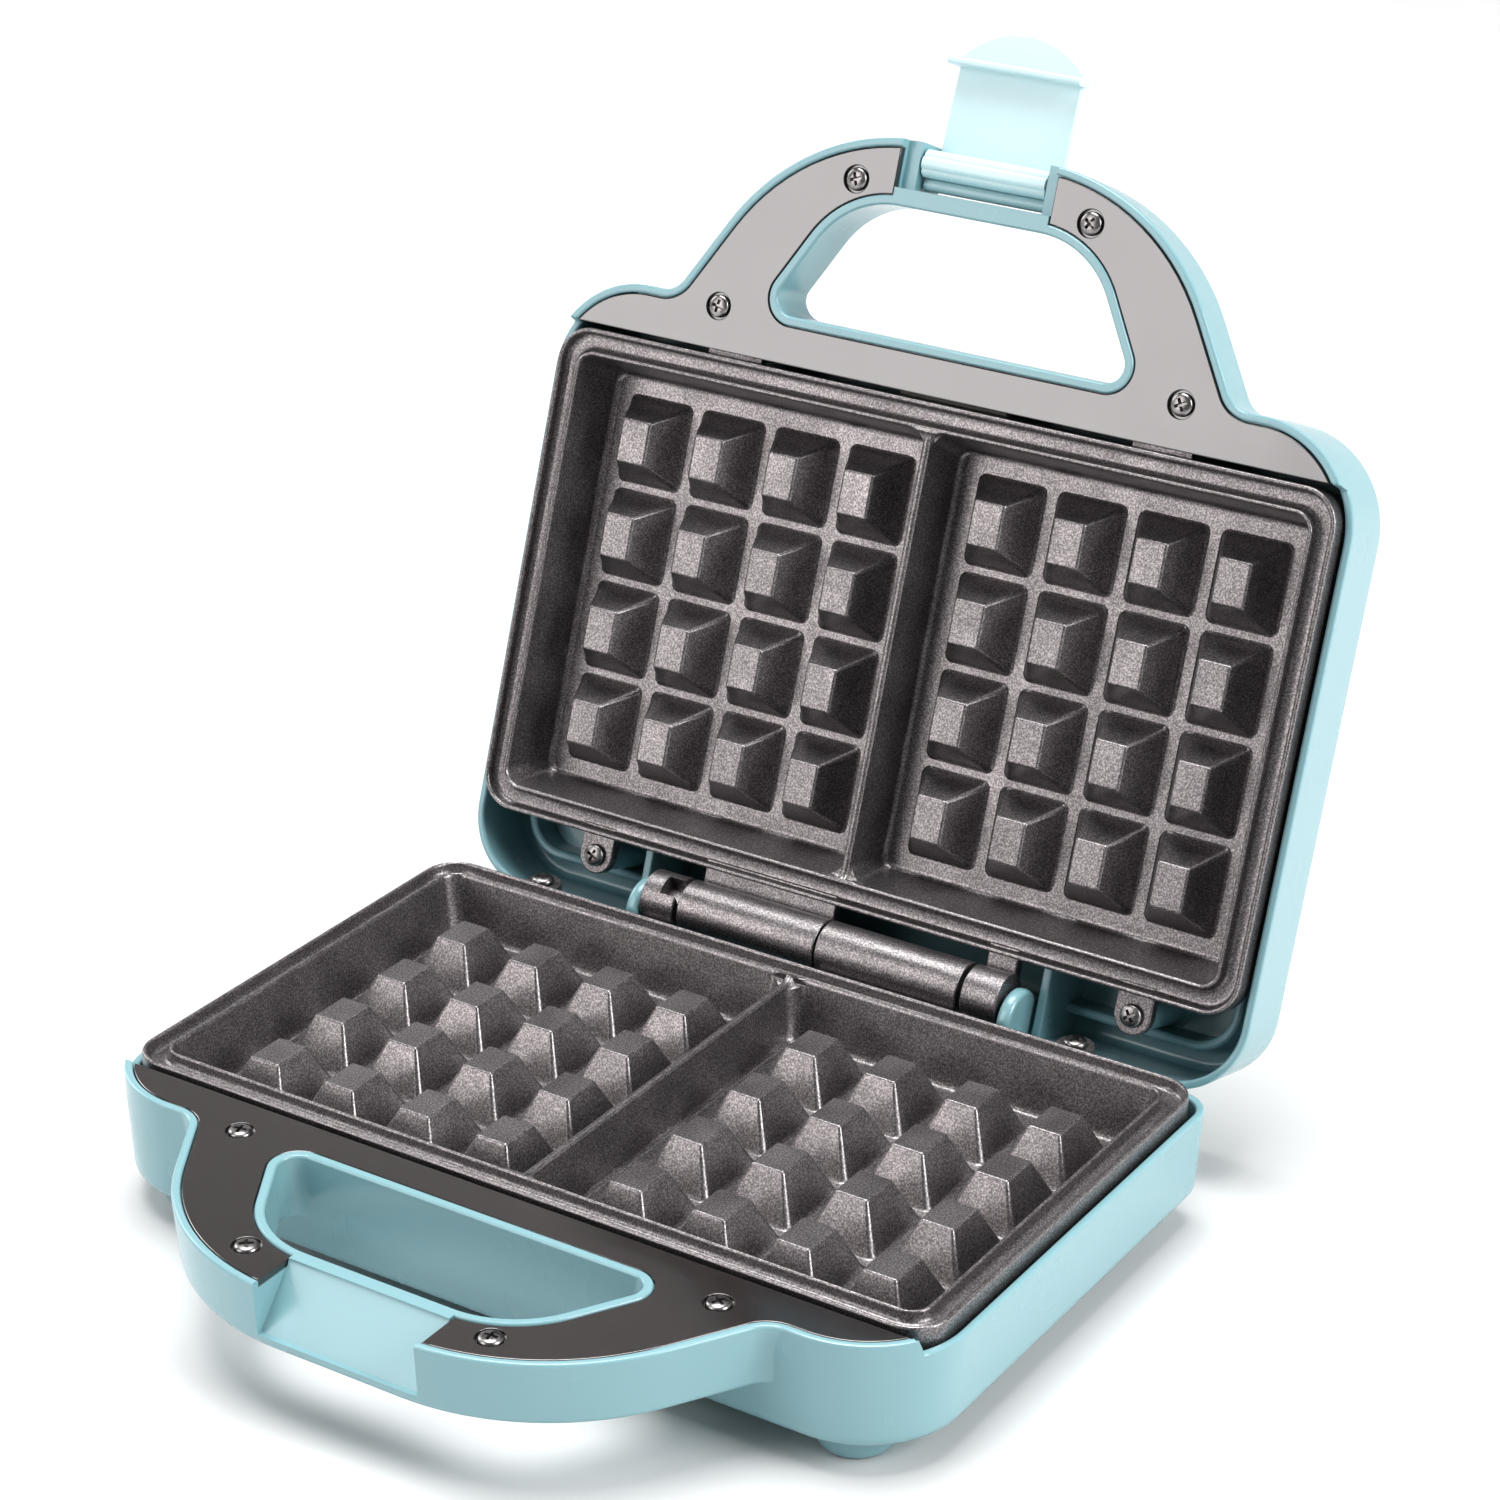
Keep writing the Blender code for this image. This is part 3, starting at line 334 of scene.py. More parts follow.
def noise_node(nodes, links, scale, detail=3.0, roughness=0.55, stretch=None):
    where = nodes.get("place") or nodes.new("ShaderNodeTexCoord")
    where.name = "place"
    made = nodes.new("ShaderNodeTexNoise")
    made.inputs["Scale"].default_value = scale
    made.inputs["Detail"].default_value = detail
    made.inputs["Roughness"].default_value = roughness
    place = where.outputs["Object"]
    if stretch:
        squeeze = nodes.new("ShaderNodeMapping")
        squeeze.inputs["Scale"].default_value = stretch
        links.new(place, squeeze.inputs["Vector"])
        place = squeeze.outputs["Vector"]
    links.new(place, made.inputs["Vector"])
    return made


def ramp(nodes, links, source, stops):
    made = nodes.new("ShaderNodeValToRGB")
    made.color_ramp.elements[0].position = stops[0][0]
    made.color_ramp.elements[0].color = (*stops[0][1], 1.0)
    made.color_ramp.elements[1].position = stops[-1][0]
    made.color_ramp.elements[1].color = (*stops[-1][1], 1.0)
    for position, colour in stops[1:-1]:
        made.color_ramp.elements.new(position).color = (*colour, 1.0)
    links.new(source, made.inputs["Fac"])
    return made.outputs["Color"]


def spread(nodes, links, source, low, high):
    made = nodes.new("ShaderNodeMapRange")
    made.inputs["From Min"].default_value = 0.3
    made.inputs["From Max"].default_value = 0.7
    made.inputs["To Min"].default_value = low
    made.inputs["To Max"].default_value = high
    links.new(source, made.inputs["Value"])
    return made.outputs["Result"]


def bump(nodes, links, shader, source, strength, distance):
    made = nodes.new("ShaderNodeBump")
    made.inputs["Strength"].default_value = strength
    made.inputs["Distance"].default_value = distance
    links.new(source, made.inputs["Height"])
    links.new(made.outputs["Normal"], shader.inputs["Normal"])


def moulded_plastic(name, dark, light, roughness, ripple=0.000005, **constants):
    """Moulded plastic: a trace of colour drift, a faintly uneven gloss and a fine moulding ripple."""
    made, nodes, links, shader = shader_material(name, sum(roughness) / 2, **constants)
    slow = noise_node(nodes, links, 14.0)
    tint = ramp(nodes, links, slow.outputs["Fac"], [(0.3, dark), (0.7, light)])
    links.new(tint, shader.inputs["Base Color"])
    mottle = noise_node(nodes, links, 60.0, 1.0)
    links.new(spread(nodes, links, mottle.outputs["Fac"], *roughness), shader.inputs["Roughness"])
    fine = noise_node(nodes, links, 900.0, 2.0)
    bump(nodes, links, shader, fine.outputs["Fac"], 0.25, ripple)
    return made


def nonstick(name):
    """Sprayed non-stick coating: near-black with fine pale flecks under a pebbled gloss."""
    made, nodes, links, shader = shader_material(name, 0.33, 0.85, IOR=1.6)
    flecks = noise_node(nodes, links, 2300.0, 1.0, 0.5)
    stops = [(0.34, (0.135, 0.125, 0.127)), (0.50, (0.215, 0.200, 0.203)), (0.66, (0.36, 0.338, 0.342))]
    links.new(ramp(nodes, links, flecks.outputs["Fac"], stops), shader.inputs["Base Color"])
    cloud = noise_node(nodes, links, 90.0, 3.0)
    links.new(spread(nodes, links, cloud.outputs["Fac"], 0.30, 0.42), shader.inputs["Roughness"])
    pebbles = noise_node(nodes, links, 1300.0, 3.0, 0.65)
    bump(nodes, links, shader, pebbles.outputs["Fac"], 0.35, 0.00007)
    return made


def metal(name, dark, light, roughness, stretch=None):
    """Bare or blackened metal with fine drawn streaks and an uneven polish."""
    made, nodes, links, shader = shader_material(name, sum(roughness) / 2, 1.0)
    streaks = noise_node(nodes, links, 500.0, 4.0, 0.5, stretch).outputs["Fac"]
    links.new(ramp(nodes, links, streaks, [(0.3, dark), (0.7, light)]), shader.inputs["Base Color"])
    links.new(spread(nodes, links, streaks, *roughness), shader.inputs["Roughness"])
    bump(nodes, links, shader, streaks, 0.2, 0.00003)
    return made


SHELL = moulded_plastic(
    "turquoise_plastic", (0.222, 0.392, 0.428), (0.227, 0.398, 0.434), (0.26, 0.275),
    Coat_Weight=0.35, Coat_Roughness=0.16,
)
# The clip's colour is lighter than the shell's turquoise: the pale tone is a painted highlight standing in
# for the sheen on the latch.
CLIP_WITH_PAINTED_HIGHLIGHT = moulded_plastic(
    "turquoise_plastic_painted_highlight", (0.56, 0.745, 0.77), (0.57, 0.76, 0.785), (0.28, 0.32),
    Coat_Weight=0.15, Coat_Roughness=0.2,
)
TRIM = moulded_plastic(
    "piano_black_plastic", (0.016, 0.011, 0.011), (0.022, 0.016, 0.016), (0.13, 0.17), 0.000002,
    IOR=2.1, Coat_Weight=0.6, Coat_Roughness=0.08,
)
COATING = nonstick("nonstick_coating")
BLACK_STEEL = metal("black_oxide_steel", (0.19, 0.18, 0.18), (0.38, 0.365, 0.365), (0.24, 0.36))
STEEL = metal("drawn_steel", (0.42, 0.42, 0.43), (0.60, 0.60, 0.61), (0.22, 0.38), (0.1, 1.0, 1.0))
SHEATH = metal("heater_sheath", (0.16, 0.15, 0.14), (0.27, 0.26, 0.25), (0.4, 0.55))
SHEET = metal("aluminised_sheet", (0.60, 0.61, 0.63), (0.74, 0.75, 0.76), (0.25, 0.4), (0.2, 1.0, 1.0))
CERAMIC = moulded_plastic("cream_ceramic", (0.74, 0.71, 0.63), (0.84, 0.81, 0.74), (0.4, 0.55), 0.00006)
RUBBER = moulded_plastic("black_rubber", (0.014, 0.014, 0.014), (0.030, 0.030, 0.030), (0.6, 0.8), 0.00008)
RED = moulded_plastic(
    "red_lens", (0.62, 0.012, 0.010), (0.80, 0.03, 0.02), (0.05, 0.1), 0.00001, Coat_Weight=0.6
)
GREEN = moulded_plastic(
    "green_lens", (0.02, 0.42, 0.08), (0.05, 0.58, 0.14), (0.05, 0.1), 0.00001, Coat_Weight=0.6
)
LAMP = moulded_plastic(
    "lamp_glass", (0.70, 0.64, 0.58), (0.84, 0.80, 0.76), (0.04, 0.1), 0.00001, Coat_Weight=0.5
)
HOLDER = moulded_plastic("holder_plastic", (0.70, 0.69, 0.62), (0.80, 0.79, 0.74), (0.4, 0.5))


# ---- shells ---------------------------------------------------------------------------------
def rim_height(y):
    """The shell's rim stands higher round the handle section, with a small rounded step."""
    t = min(max((-y - 63.8) / 1.1, 0.0), 1.0)
    return HANDLE_RIM * t * t * (3 - 2 * t)


def grip_corners(out, z=None):
    """The finger opening's corners, moved outwards; below the rim its rear edge follows the tub's wall."""
    (top_x, top_y, top_r), (low_x, low_y, low_r) = GRIP_TOP, GRIP_CORNER
    if z is not None:
        drafted = low_y + 0.0548 * max(0.0, -z - 2.6) - out
        low_x += (drafted - low_y) * (low_x - top_x) / (low_y - top_y)
        low_y = drafted
    return inset(mirrored([(top_x, top_y, top_r), (low_x, low_y, low_r)]), -out)


def grip_cutter():
    """Takes out the finger opening, flared under the handle and round its rim."""
    rings = []
    for out, z in ((1.6, -30.0), (1.6, -12.4), (1.0, -12.0), (0.45, -11.7), (0.12, -11.2), (0.0, -10.6)):
        rings.append(ring(grip_corners(out, z), 0.0, z))
    for out, z in ((0.0, -2.6), (0.0, 3.0), (0.08, 3.35), (0.28, 3.62), (0.6, 3.79), (1.1, 3.9), (1.4, 6.0)):
        rings.append(ring(grip_corners(out), 0.0, z))
    return skin("grip_cutter", rings)


def pocket_cutter():
    """Takes the trim plate's pocket out of the handle, and leaves a wall round the finger opening."""
    levels = ((2.3, 1.8), (2.3, 3.2), (2.2, 3.5), (1.95, 3.72), (1.6, 3.82), (1.3, 6.0))
    made = stack("pocket_cutter", mirrored(HANDLE), levels)
    wall = ((-2.4, 0.0), (-2.4, 3.15), (-2.3, 3.5), (-2.05, 3.75), (-1.8, 3.83))
    island = stack("island", grip_corners(0.0), wall)
    ends = block("recess_ends", (-RECESS_X, -FAR, -50), (RECESS_X, -108.3, 50))
    return cut(made, island, ends)


def tub_corners(rear):
    return mirrored([(TUB_X, TUB_FRONT, TUB_FRONT_R), (TUB_X, *rear)])


def shell(rear):
    """A tub with a rounded bottom edge and rim, and the handle arch with its finger opening."""
    corners = tub_corners(rear)
    step = 1.5
    rings = []
    levels = ((4.5, TUB_BOTTOM), (3.4, -22.8), (2.45, -22.25), (1.75, -21.4), (1.4, -20.4), (1.28, -19.4))
    for distance, z in levels:
        rings.append(ring(corners, distance, z, step))
    rings.append(ring(corners, 0.36, -2.6, step))
    rim = ((0.24, 0.75), (0.28, 0.45), (0.42, 0.18), (0.68, 0.03), (0.95, 0.0), (1.6, 0.0))
    rim += ((1.9, 0.06), (2.12, 0.22), (2.25, 0.5), (2.3, 1.0))
    for distance, drop in rim:
        rings.append([(x, y, rim_height(y) - drop) for x, y, _ in ring(corners, distance, 0.0, step)])
    for distance, z in ((2.35, -18.6), (2.5, -19.6), (3.0, -20.35), (3.8, -20.75), (4.6, FLOOR_Z)):
        rings.append(ring(corners, distance, z, step))
    made = skin("shell", rings)
    levels = ((3.2, -12.0), (2.3, -11.85), (1.7, -11.4), (1.4, -10.8), (1.24, -10.2))
    levels += ((0.16, 2.9), (0.2, 3.25), (0.36, 3.55), (0.62, 3.74), (0.95, 3.79))
    join(made, stack("arch", mirrored(ARCH), levels, 3.0))
    cut(made, pocket_cutter())
    return cut(made, grip_cutter())


def post(x):
    """A hollow screw post for one of the plate's rear lugs."""
    profile = [(1.5, -1.7), (3.7, -1.7), (4.1, -1.9), (4.25, -2.3)]
    profile += [(4.4, -18.5), (4.9, -20.0), (6.0, -20.9), (1.5, -20.9)]
    return spun(f"post_{x}", profile, (x, LUG_Y, 0), sides=40)


def base_shell():
    """The base's shell, with its rear bulge, hinge ears, screw posts and cord inlet hole."""
    made = shell(BASE_REAR)
    bulge = mirrored([(97.0, 58.0, 0.0), (97.0, 66.0, 3.0), (92.0, 73.0, 3.5)])
    levels = ((4.2, -22.95), (3.0, -22.7), (2.0, -22.1), (1.3, -21.2), (1.05, -20.0))
    levels += ((0.35, -3.2), (0.4, -2.7), (0.65, -2.3), (1.1, -2.1), (1.5, -2.05))
    join(made, stack("bulge", bulge, levels))
    inner = ((4.5, FLOOR_Z + 0.03), (3.3, -20.5), (2.6, -19.8), (2.35, -18.6))
    inner += ((2.35, -2.9), (2.2, -2.5), (1.9, -2.2), (1.7, 3.0))
    cut(made, stack("bulge_hollow", bulge, inner))
    cut(made, drum("relief", (0, HINGE_Y, HINGE_Z), "X", RELIEF_R, 2 * RELIEF_X, 0.0, 48))
    slope = [(-135, 12), (-111.9, 12), (-112.1, 3.4), (-112.5, 2.4)]
    slope += [(-121.2, -7.9), (-121.9, -8.9), (-122.3, -9.3), (-135, -9.3)]
    cut(made, across("recess", slope, -RECESS_X, RECESS_X))
    for side in (-1, 1):
        angles = [math.radians(degrees) for degrees in range(-15, 196, 5)]
        profile = [(HINGE_Y + EAR_R * math.cos(a), EAR_Z + EAR_R * math.sin(a)) for a in angles]
        profile += [(65.6, -5.0), (62.6, -9.0), (62.4, -21.3), (71.2, -21.3)]
        low, high = sorted((side * EAR_IN, side * EAR_OUT))
        join(made, across("ear", profile, low, high, 1.3))
    join(made, *[post(x) for x in LUGS_X])
    cut(made, drum("inlet_hole", (INLET_X, 72.0, INLET_Z), "Y", 4.6, 12.0, 0.0))
    return finished(made, "base", BASE, SHELL, ["base_housing"])


def lid_shell():
    """The lid's shell, with a rib round its rear, the hinge notch, screw posts and the latch fork."""
    made = shell(LID_REAR)
    corners = tub_corners(LID_REAR)
    outer = stack("rib", corners, ((7.6, -21.2), (7.9, -14.2), (8.15, -13.4), (8.7, -13.05)))
    levels = ((10.9, -22.0), (10.5, -14.2), (10.2, -13.4), (9.6, -13.0), (9.2, -12.0))
    inner = stack("rib_inner", corners, levels)
    cut(outer, inner, block("rib_front", (-FAR, -FAR, -50), (FAR, 46.0, 50)))
    join(made, outer)
    notch = slab("notch", rectangle(NOTCH_X, 20.0, 2.0), -10.0, 20.0, 0.0)
    notch.data.transform(Matrix.Translation((0, LID_REAR[0], 0)))
    cut(made, notch)
    for side in (-1, 1):
        low, high = sorted((side * (NOTCH_X - 0.1), side * (NOTCH_X + 2.2)))
        join(made, block("cheek", (low, 63.9, -21.5), (high, 82.9, -0.4), 0.45))
    join(made, *[post(x) for x in LUGS_X])
    cut(made, block("latch_gap", (-GAP_X, -FAR, -50), (GAP_X, LATCH_WALL_Y, 50)))
    cut(made, block("cheek_top", (-RECESS_X, -FAR, 0.4), (RECESS_X, LATCH_WALL_Y, 50)))
    return finished(made, "lid", LID, SHELL, ["lid_housing"])


# ---- trim plates and screws -----------------------------------------------------------------
def trim(name, body, place, node):
    """The black plate on the handle: open round the grip and the recess, with sunk screw seats."""
    made = slab(name, inset(mirrored(HANDLE), 2.55), TRIM_LOW, TRIM_TOP, 0.35)
    flare = ((0.0, -5.0), (0.0, TRIM_TOP - 0.35), (0.1, TRIM_TOP - 0.12), (0.35, TRIM_TOP), (0.5, 9.0))
    opening = stack("opening", grip_corners(2.65), [(-out, z) for out, z in flare])
    middle, back = [], []
    for out, z in flare:
        half, edge = RECESS_X + 0.25 + out, -64.6 - out
        middle.append([(-half, -FAR, z), (half, -FAR, z), (half, -105, z), (-half, -105, z)])
        back.append([(-FAR, edge, z), (FAR, edge, z), (FAR, FAR, z), (-FAR, FAR, z)])
    cut(made, opening, skin("middle", middle))
    cut(made, skin("back", back))
    for x, y in TRIM_SCREWS:
        profile = [(0.0, -6.0), (1.8, -6.0), (1.8, TRIM_SINK), (3.4, TRIM_SINK), (3.4, TRIM_TOP - 0.25)]
        profile += [(3.5, TRIM_TOP - 0.08), (3.7, TRIM_TOP), (3.9, TRIM_TOP + 0.5), (0.0, TRIM_TOP + 0.5)]
        cut(made, spun("sink", profile, (x, y, 0)))
    return finished(made, body, place, TRIM, [node])


def screw(name, x, y, seat, body, place, node, turn):
    """A pan-head screw with a cross recess."""
    top = seat + 1.45
    profile = [(0.0, seat - 6.0), (1.4, seat - 5.6), (1.4, seat), (2.75, seat + 0.02), (2.88, seat + 0.2)]
    profile += [(2.85, seat + 0.6), (2.6, seat + 1.0), (2.1, seat + 1.25), (1.2, top - 0.05), (0.0, top)]
    made = spun(name, profile, (x, y, 0), sides=40)
    spin = Matrix.Translation((x, y, 0)) @ Matrix.Rotation(math.radians(turn), 4, "Z")
    for a, b in ((0.42, 1.75), (1.75, 0.42)):
        rings = []
        for k, z in ((0.72, seat + 0.25), (1.05, top + 0.4)):
            rings.append([(-a * k, -b * k, z), (a * k, -b * k, z), (a * k, b * k, z), (-a * k, b * k, z)])
        slot = skin("cross", rings)
        slot.data.transform(spin)
        cut(made, slot)
    return finished(made, body, place, BLACK_STEEL, [node], angle=40)


# ---- cooking plates -------------------------------------------------------------------------
def cavity_cutter(side):
    """Takes out one waffle's cavity, with drafted walls, a rounded floor edge and a soft crest."""
    def corners(grow, z):
        rise = (z - CAVITY_Z) / (CREST_TOP - CAVITY_Z)
        outer = side * (CAVITY_OUT + 3.4 * rise + grow)
        inner = side * (CAVITY_IN - 2.1 * rise - grow)
        y = CAVITY_Y + 3.4 * rise + grow
        radius = CAVITY_R + 1.1 * rise + grow
        left, right = sorted((inner, outer))
        return [(left, -y, radius), (right, -y, radius), (right, y, radius), (left, y, radius)]

    levels = ((-1.3, -11.1), (-0.65, -10.98), (-0.25, -10.65), (-0.06, -10.2), (0.0, -9.6), (0.0, 3.2))
    levels += ((0.03, 3.65), (0.12, 3.95), (0.3, 4.15), (0.6, 4.3), (1.0, 6.0))
    return skin("cavity", [ring(corners(grow, z), 0.0, z, 6.0) for grow, z in levels])


def ridge_cutter():
    """Takes the ridge between the cavities down, with rounded shoulders and risen ends."""
    shoulder = [(1.5, 1.6), (1.02, 2.55), (0.85, 2.9), (0.5, 3.13)]
    arch = [(-x, z) for x, z in shoulder] + [(0.0, RIDGE_Z)] + shoulder[::-1]
    outline = [(-6.0, 1.6)] + arch + [(6.0, 1.6), (6.0, 12.0), (-6.0, 12.0)]
    end = [(56.2, 1.1), (55.6, 0.55), (54.8, 0.15), (53.5, 0.0)]
    stations = [(-y, rise) for y, rise in end] + end[::-1]
    return skin("ridge", [[(x, y, z + rise) for x, z in outline] for y, rise in stations])


def pyramid(x, y):
    """One pyramid, blended into the cavity's floor, with soft edges round its flat top."""
    rings = []
    levels = ((0.8, -11.25), (0.5, -11.08), (0.26, -10.88), (0.14, -10.6), (0.1, -10.2), (0.0, -0.6))
    levels += ((-0.03, -0.36), (-0.12, -0.16), (-0.28, -0.04), (-0.5, 0.0))
    for grow, z in levels:
        depth = -z / 11.1
        radius = 0.6 + 1.0 * depth + max(grow, -0.3)
        corners = rectangle(4.15 + 4.95 * depth + grow, 5.5 + 5.45 * depth + grow, radius)
        rings.append([(px + x, py + y, z) for px, py in rounded(corners, 18.0)])
    return skin("pyramid", rings)


def barrel(x0, x1):
    return drum("barrel", ((x0 + x1) / 2, HINGE_Y, HINGE_Z), "X", BARREL_R, x1 - x0, 0.35)


def cooking_plate(name, body, place, node):
    """The casting: lip and crest, two cavities with pyramids, lugs, tabs and hinge barrels."""
    lip = rectangle(*LIP)
    crest = rectangle(*CREST)
    levels = ((1.4, -3.6), (0.7, -3.5), (0.25, -3.15), (0.0, -2.6), (0.0, 3.5), (0.07, 3.85), (0.25, 4.1))
    levels += ((0.5, 4.2), (0.72, 4.2), (0.95, 4.1), (1.12, 3.85), (1.2, 3.5))
    levels += ((1.26, 2.4), (1.5, 1.75), (2.0, 1.32), (2.7, 1.2))
    rings = [ring(lip, d, z, 5.0) for d, z in levels]
    levels = ((-1.5, 1.25), (-0.8, 1.5), (-0.35, 2.0), (-0.12, 2.7))
    levels += ((0.0, 3.5), (0.06, 3.85), (0.2, 4.08), (0.45, 4.2))
    rings += [ring(crest, d, z, 5.0) for d, z in levels]
    made = skin(name, rings)
    levels = ((3.2, -13.1), (2.2, -12.9), (1.5, -12.3), (1.2, -11.5), (0.0, -3.2), (0.0, -2.6))
    join(made, stack("under", rectangle(*UNDERSIDE), levels, 6.0))
    cut(made, cavity_cutter(-1), cavity_cutter(1))
    cut(made, ridge_cutter())
    columns = [side * (PYRAMID_X + PYRAMID_PITCH[0] * i) for side in (-1, 1) for i in range(4)]
    spots = [(x, PYRAMID_Y + PYRAMID_PITCH[1] * j) for x in columns for j in range(4)]
    join(made, gather("pyramids", [pyramid(x, y) for x, y in spots]))
    extras = []
    for x in LUGS_X:
        left, right, tip, tip_r = x - LUG_R, x + LUG_R, LUG_Y + LUG_R, LUG_R - 0.02
        outline = [(right, LUG_ROOT_Y, 0), (right, tip, tip_r), (left, tip, tip_r), (left, LUG_ROOT_Y, 0)]
        lug = slab("lug", outline, LUG_LOW, LUG_TOP, 0.4, 6.0)
        cut(lug, drum("lug_hole", (x, LUG_Y, 0), "Z", 1.9, 10.0, 0.0, 32))
        extras.append(lug)
    for side in (-1, 1):
        extras.append(block("tab", (side * 60 - 8, -70.5, -3.2), (side * 60 + 8, -61.0, -1.2), 0.3))
    for x0, x1 in (LONG_BARREL, SHORT_BARREL):
        extras.append(block("web", (x0 + 0.8, 61.2, -1.5), (x1 - 0.8, 70.5, 1.8), 0.35))
    join(made, *extras)
    ends = barrel(*SHORT_BARREL)
    window = block("window", (-46.1, -2.7, 2.6), (-40.0, 2.7, 9.0))
    turn = Matrix.Rotation(math.radians(WINDOW_TURN[body]), 4, "X")
    window.data.transform(Matrix.Translation((0, HINGE_Y, HINGE_Z)) @ turn)
    cut(ends, window)
    join(made, barrel(*LONG_BARREL), ends)
    return finished(made, body, place, COATING, [node], angle=38)


# ---- latch and small parts ------------------------------------------------------------------
def latch():
    """The clip: ridged barrel, flat plate, hooked ledge and half-round finger tab."""
    made = block("latch_clip", (-16.8, -6.6, -3.4), (16.8, -4.6, 26.6), 0.35)
    web = block("web", (-16.4, -6.0, -2.8), (16.4, 0.0, 1.6), 0.3)
    ridges = []
    for number in range(96):
        angle = 2 * math.pi * number / 96
        radius = 3.6 - 0.45 * (1 - abs(math.cos(3 * angle))) ** 2
        ridges.append((radius * math.cos(angle), radius * math.sin(angle)))
    angles = [math.radians(15 * n) for n in range(24)]
    tail = [(-1.2 + 1.55 * math.cos(a), -4.95 + 1.55 * math.sin(a)) for a in angles]
    join(made, web, across("barrel", ridges, -17.0, 17.0), across("tail", tail, -16.9, 16.9))
    hook = [(-6.5, 24.9), (-1.0, 24.9), (-0.3, 25.1), (-0.1, 25.6)]
    hook += [(-0.1, 26.2), (-0.4, 26.7), (-1.0, 26.85), (-6.5, 26.85)]
    join(made, across("hook", hook, -18.3, 18.3, 0.2))
    radius, top, low = 22.9, 34.95, 26.0
    middle = top - radius
    rings = []
    slices = ((-6.55, 0.55), (-6.45, 0.25), (-6.2, 0.05), (-5.0, 0.05), (-4.75, 0.25), (-4.65, 0.55))
    for depth, shrink in slices:
        reach = radius - shrink
        half = math.acos((low - middle) / reach)
        angles = [half * (1 - 2 * n / 48) for n in range(49)]
        rings.append([(reach * math.sin(a), depth, middle + reach * math.cos(a)) for a in angles])
    join(made, skin("tab", rings))
    cut(made, drum("bore", (0, 0, 0), "X", 1.8, 60.0, 0.0, 32))
    return finished(made, "latch", LATCH, CLIP_WITH_PAINTED_HIGHLIGHT, ["latch"], angle=35)


def foot(name, x, y):
    profile = [(0.0, -19.3), (2.7, -19.3), (2.7, -23.3), (9.0, -23.3), (9.15, -23.6)]
    profile += [(9.0, -27.5), (8.75, -28.7), (8.2, -29.5), (7.4, -29.92), (6.6, -30.0), (0.0, -30.0)]
    made = spun(name + "_piece", profile, (x, y, 0), sides=64)
    return finished(made, "base", BASE, SHELL, [name])


def inlet_bush():
    profile = [(3.0, -3.2), (5.0, -3.2), (5.2, -3.0), (5.2, -1.6), (5.0, -1.45), (4.3, -1.45), (4.3, 1.45)]
    profile += [(5.0, 1.45), (5.2, 1.65), (5.15, 2.6), (4.7, 3.3), (3.9, 3.62), (3.3, 3.55), (3.0, 3.2)]
    made = spun("inlet_bush", profile, (INLET_X, 71.85, INLET_Z), "Y", sides=48)
    return finished(made, "base", BASE, RUBBER, ["cord_inlet_bush"])


def lens(name, x, finish):
    profile = [(0.0, FLOOR_Z + 1.4), (4.1, FLOOR_Z + 1.4), (4.1, FLOOR_Z + 0.3), (2.8, FLOOR_Z + 0.3)]
    dome = ((2.8, 0.7), (2.6, 1.15), (2.1, 1.5), (1.3, 1.74), (0.0, 1.8))
    profile += [(radius, TUB_BOTTOM - drop) for radius, drop in dome]
    made = spun(name + "_piece", profile, (x, LENS_Y, 0), sides=48)
    return finished(made, "lid", LID, finish, [name])


base_shell()
lid_shell()
trim("base_trim", "base", BASE, "base_trim_plate")
trim("lid_trim", "lid", LID, "lid_trim_plate")
TURNS = (12.0, 40.0, -25.0, 5.0)
for body, place in (("base", BASE), ("lid", LID)):
    for number, ((x, y), turn) in enumerate(zip(TRIM_SCREWS, TURNS), 1):
        turn += 15 * (body == "lid")
        node = f"{body}_trim_screw_{number}"
        screw(f"{body}_screw_{number}", x, y, TRIM_SINK + 0.05, body, place, node, turn)
for half, body, place in (("lower", "base", BASE), ("upper", "lid", LID)):
    cooking_plate(f"{half}_plate", body, place, f"{half}_cooking_plate")
    for number, x in enumerate(LUGS_X, 1):
        node = f"{half}_plate_screw_{number}"
        screw(f"{half}_lug_screw_{number}", x, LUG_Y, LUG_SEAT, body, place, node, 35.0 * number)
latch()
for name, (x, y) in FEET.items():
    foot(name, x, y)
inlet_bush()
lens("power_lens", LENS_X, RED)
lens("ready_lens", -LENS_X, GREEN)

# ---- CAD nodes that stay --------------------------------------------------------------------
KEPT = {
    "heating_element": SHEATH,
    "element_clamp": SHEET,
    "heat_shield": SHEET,
    "thermostat": CERAMIC,
    "terminal_block": CERAMIC,
    "thermal_fuse": CERAMIC,
    "_lamp": LAMP,
    "lamp_holder": HOLDER,
    "_pin": STEEL,
}
for name, node in frame["nodes"].items():
    for word, finish in KEPT.items():
        if word in name:
            node.data.materials.clear()
            node.data.materials.append(finish)


# ---- floor, lights and camera ---------------------------------------------------------------
def plain(name, colour, roughness):
    """A matt surface with a barely visible grain."""
    made, nodes, links, shader = shader_material(name, roughness)
    grain = noise_node(nodes, links, 30.0)
    dark = tuple(0.99 * c for c in colour)
    tint = ramp(nodes, links, grain.outputs["Fac"], [(0.3, dark), (0.7, colour)])
    links.new(tint, shader.inputs["Base Color"])
    return made


sweep = bmesh.new()
profile = [(-3.0, 0.0), (1.2, 0.0)]
angles = [math.pi / 2 * n / 12 for n in range(1, 13)]
profile += [(1.2 + 0.8 * math.sin(a), 0.8 - 0.8 * math.cos(a)) for a in angles]
profile += [(2.0, 3.5)]
columns = [[sweep.verts.new((x, y, z)) for y, z in profile] for x in (-4.0, 4.0)]
for index in range(len(profile) - 1):
    sweep.faces.new((columns[0][index], columns[1][index], columns[1][index + 1], columns[0][index + 1]))
floor = mesh_object("floor", sweep)
floor.hide_render = False
floor.data.shade_smooth()
floor.data.materials.append(plain("pale_floor", (0.68, 0.68, 0.68), 0.7))


